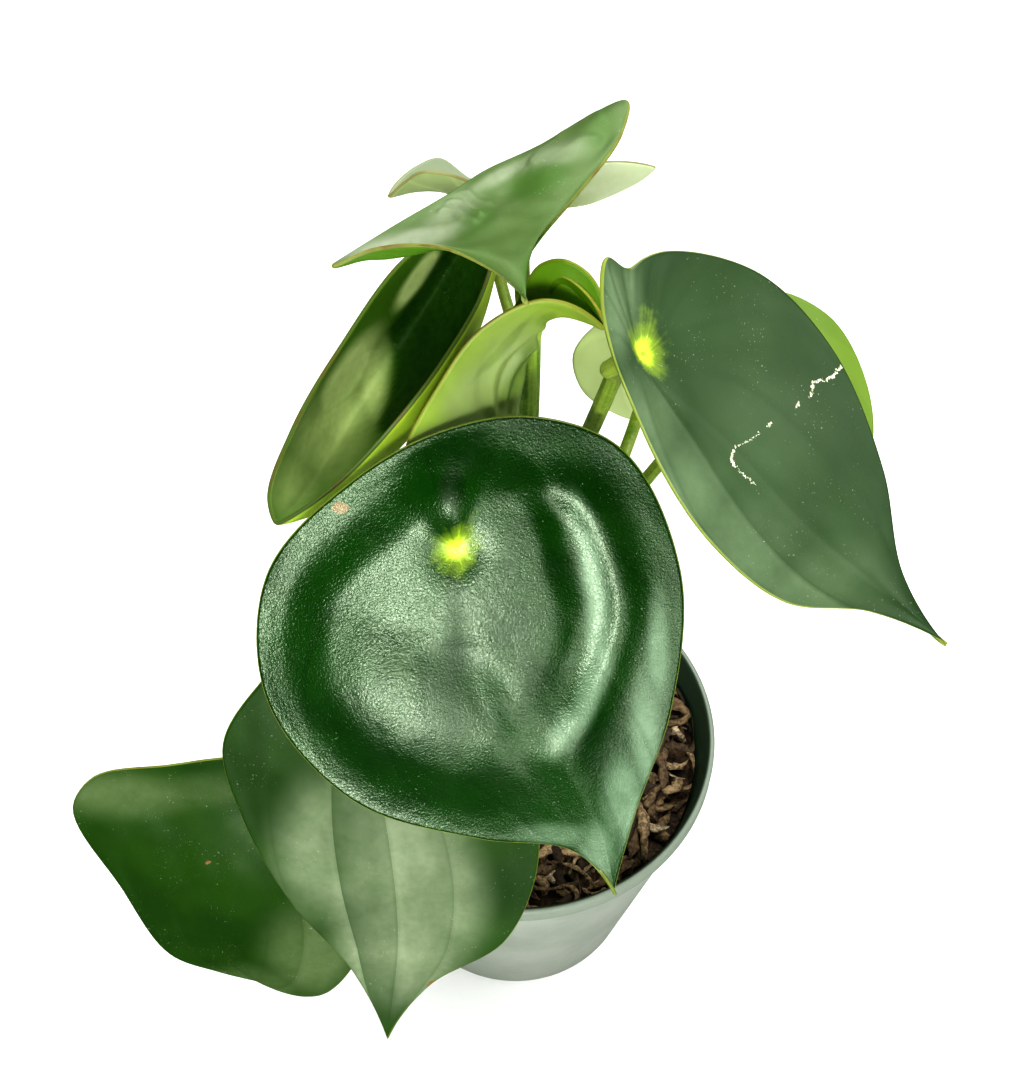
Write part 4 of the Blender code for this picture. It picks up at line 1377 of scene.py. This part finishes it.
def bark_material():
    """Bark and fibre from near black to pale tan, each strip in its own tone, with painted shade where its
    fibres sink.
    """
    on = Finish("bark mix")
    tone, _, _ = on.stored("tone")
    ramp = on.place("ValToRGB", {"Fac": tone})
    tones = ramp.color_ramp.elements
    for share, colour in BARK_TONES[1:-1]:
        tones.new(share).color = display(*colour)
    for end in (0, -1):
        tones[end].color = display(*BARK_TONES[end][1])
    fibres = on.grained(on.object_place(), BARK_FIBRE, 4.0, 0.7)
    on.bumped(fibres, BARK_FIBRE_RISE)
    # Painted shade: darker where the fibre relief is low.
    groove_shade = on.times(on.faded(fibres, 0.62, 0.38), 0.7)
    return on.given(on.mixed(groove_shade, ramp.outputs["Color"], display(40, 25, 16)), 0.8)


def crust_material():
    """Dry, pale scar tissue."""
    on = Finish("pale crust")
    return on.given(on.mottle((226, 224, 208), (176, 180, 150), 900.0, 3000.0)["Color"], 0.7)


def floor_material():
    """A pale floor. What is glossy mirrors it as a dark one, so that the leaves keep their dark places."""
    on = Finish("pale floor")
    mottle = on.mottle((250, 250, 250), (246, 246, 246), 6.0, 400.0)
    return on.given(on.mixed(on.mirrored(), mottle["Color"], FLOOR_MIRRORED), 0.9)


# Studio


def make_camera():
    """The camera of the photograph, as fitted, and the tones of the picture."""
    data = bpy.data.cameras.new("camera")
    data.sensor_width = SENSOR
    data.lens = PICTURE_SCALE / PICTURE_HEIGHT * SENSOR
    camera = bpy.data.objects.new("camera", data)
    camera.location = VIEW_POINT
    camera.rotation_euler = (math.pi / 2 - VIEW_DIP, 0, 0)
    bpy.context.scene.collection.objects.link(camera)
    bpy.context.scene.camera = camera
    bpy.context.scene.view_settings.view_transform = "Standard"
    bpy.context.scene.view_settings.look = "High Contrast"


def add_softbox(name, place, width, height, power):
    """A lit rectangle that faces the plant."""
    data = bpy.data.lights.new(name, "AREA")
    data.shape = "RECTANGLE"
    data.size = width
    data.size_y = height
    data.energy = power
    light = bpy.data.objects.new(name, data)
    light.location = place
    light.rotation_euler = (Vector(LIGHTS_AIM) - Vector(place)).to_track_quat("-Z", "Y").to_euler()
    bpy.context.scene.collection.objects.link(light)


def make_backdrop():
    """White all round. What is glossy mirrors it as much darker, as it does the floor."""
    world = bpy.data.worlds.new("studio")
    world.use_nodes = True
    on = Nodes(world.node_tree)
    strength = on.line(on.faded(on.mirrored(), 0.0, 1.0), WORLD_MIRRORED - WORLD_LIGHT, WORLD_LIGHT)
    on.fill(world.node_tree.nodes["Background"], {"Color": (1, 1, 1, 1), "Strength": strength})
    bpy.context.scene.world = world


def make_floor():
    """A wide floor, just under the pot."""
    grid = bmesh.new()
    bmesh.ops.create_grid(grid, x_segments=8, y_segments=8, size=FLOOR_REACH)
    mesh = bpy.data.meshes.new("floor")
    grid.to_mesh(mesh)
    grid.free()
    floor = add_object("floor", mesh, floor_material())
    floor.location = (0, 0, -FLOOR_GAP)


def make_plant():
    """The stem, and each leaf with its stalk. Every leaf has a seed of its own for its swell."""
    make_stem(strand_material("stem skin", (160, 186, 78), (96, 130, 38)))
    stalk_skin = strand_material("stalk skin", (140, 160, 66), (96, 124, 38))
    for index, (name, blade) in enumerate(BLADES.items()):
        looks = {**PLAIN_LOOKS, **LEAF_LOOKS[name]}
        leaf = make_leaf(name, blade, looks, FIRST_SEED + SEEDS_APART * index)
        if name in STALKS:
            make_stalk(name, stalk_skin)
        if name == SCARRED:
            make_scar(leaf, crust_material())


make_camera()
make_backdrop()
make_floor()
for softbox in SOFTBOXES:
    add_softbox(*softbox)
make_pot(pot_material())
make_soil(bed_material())
make_bark(bark_material())
make_plant()
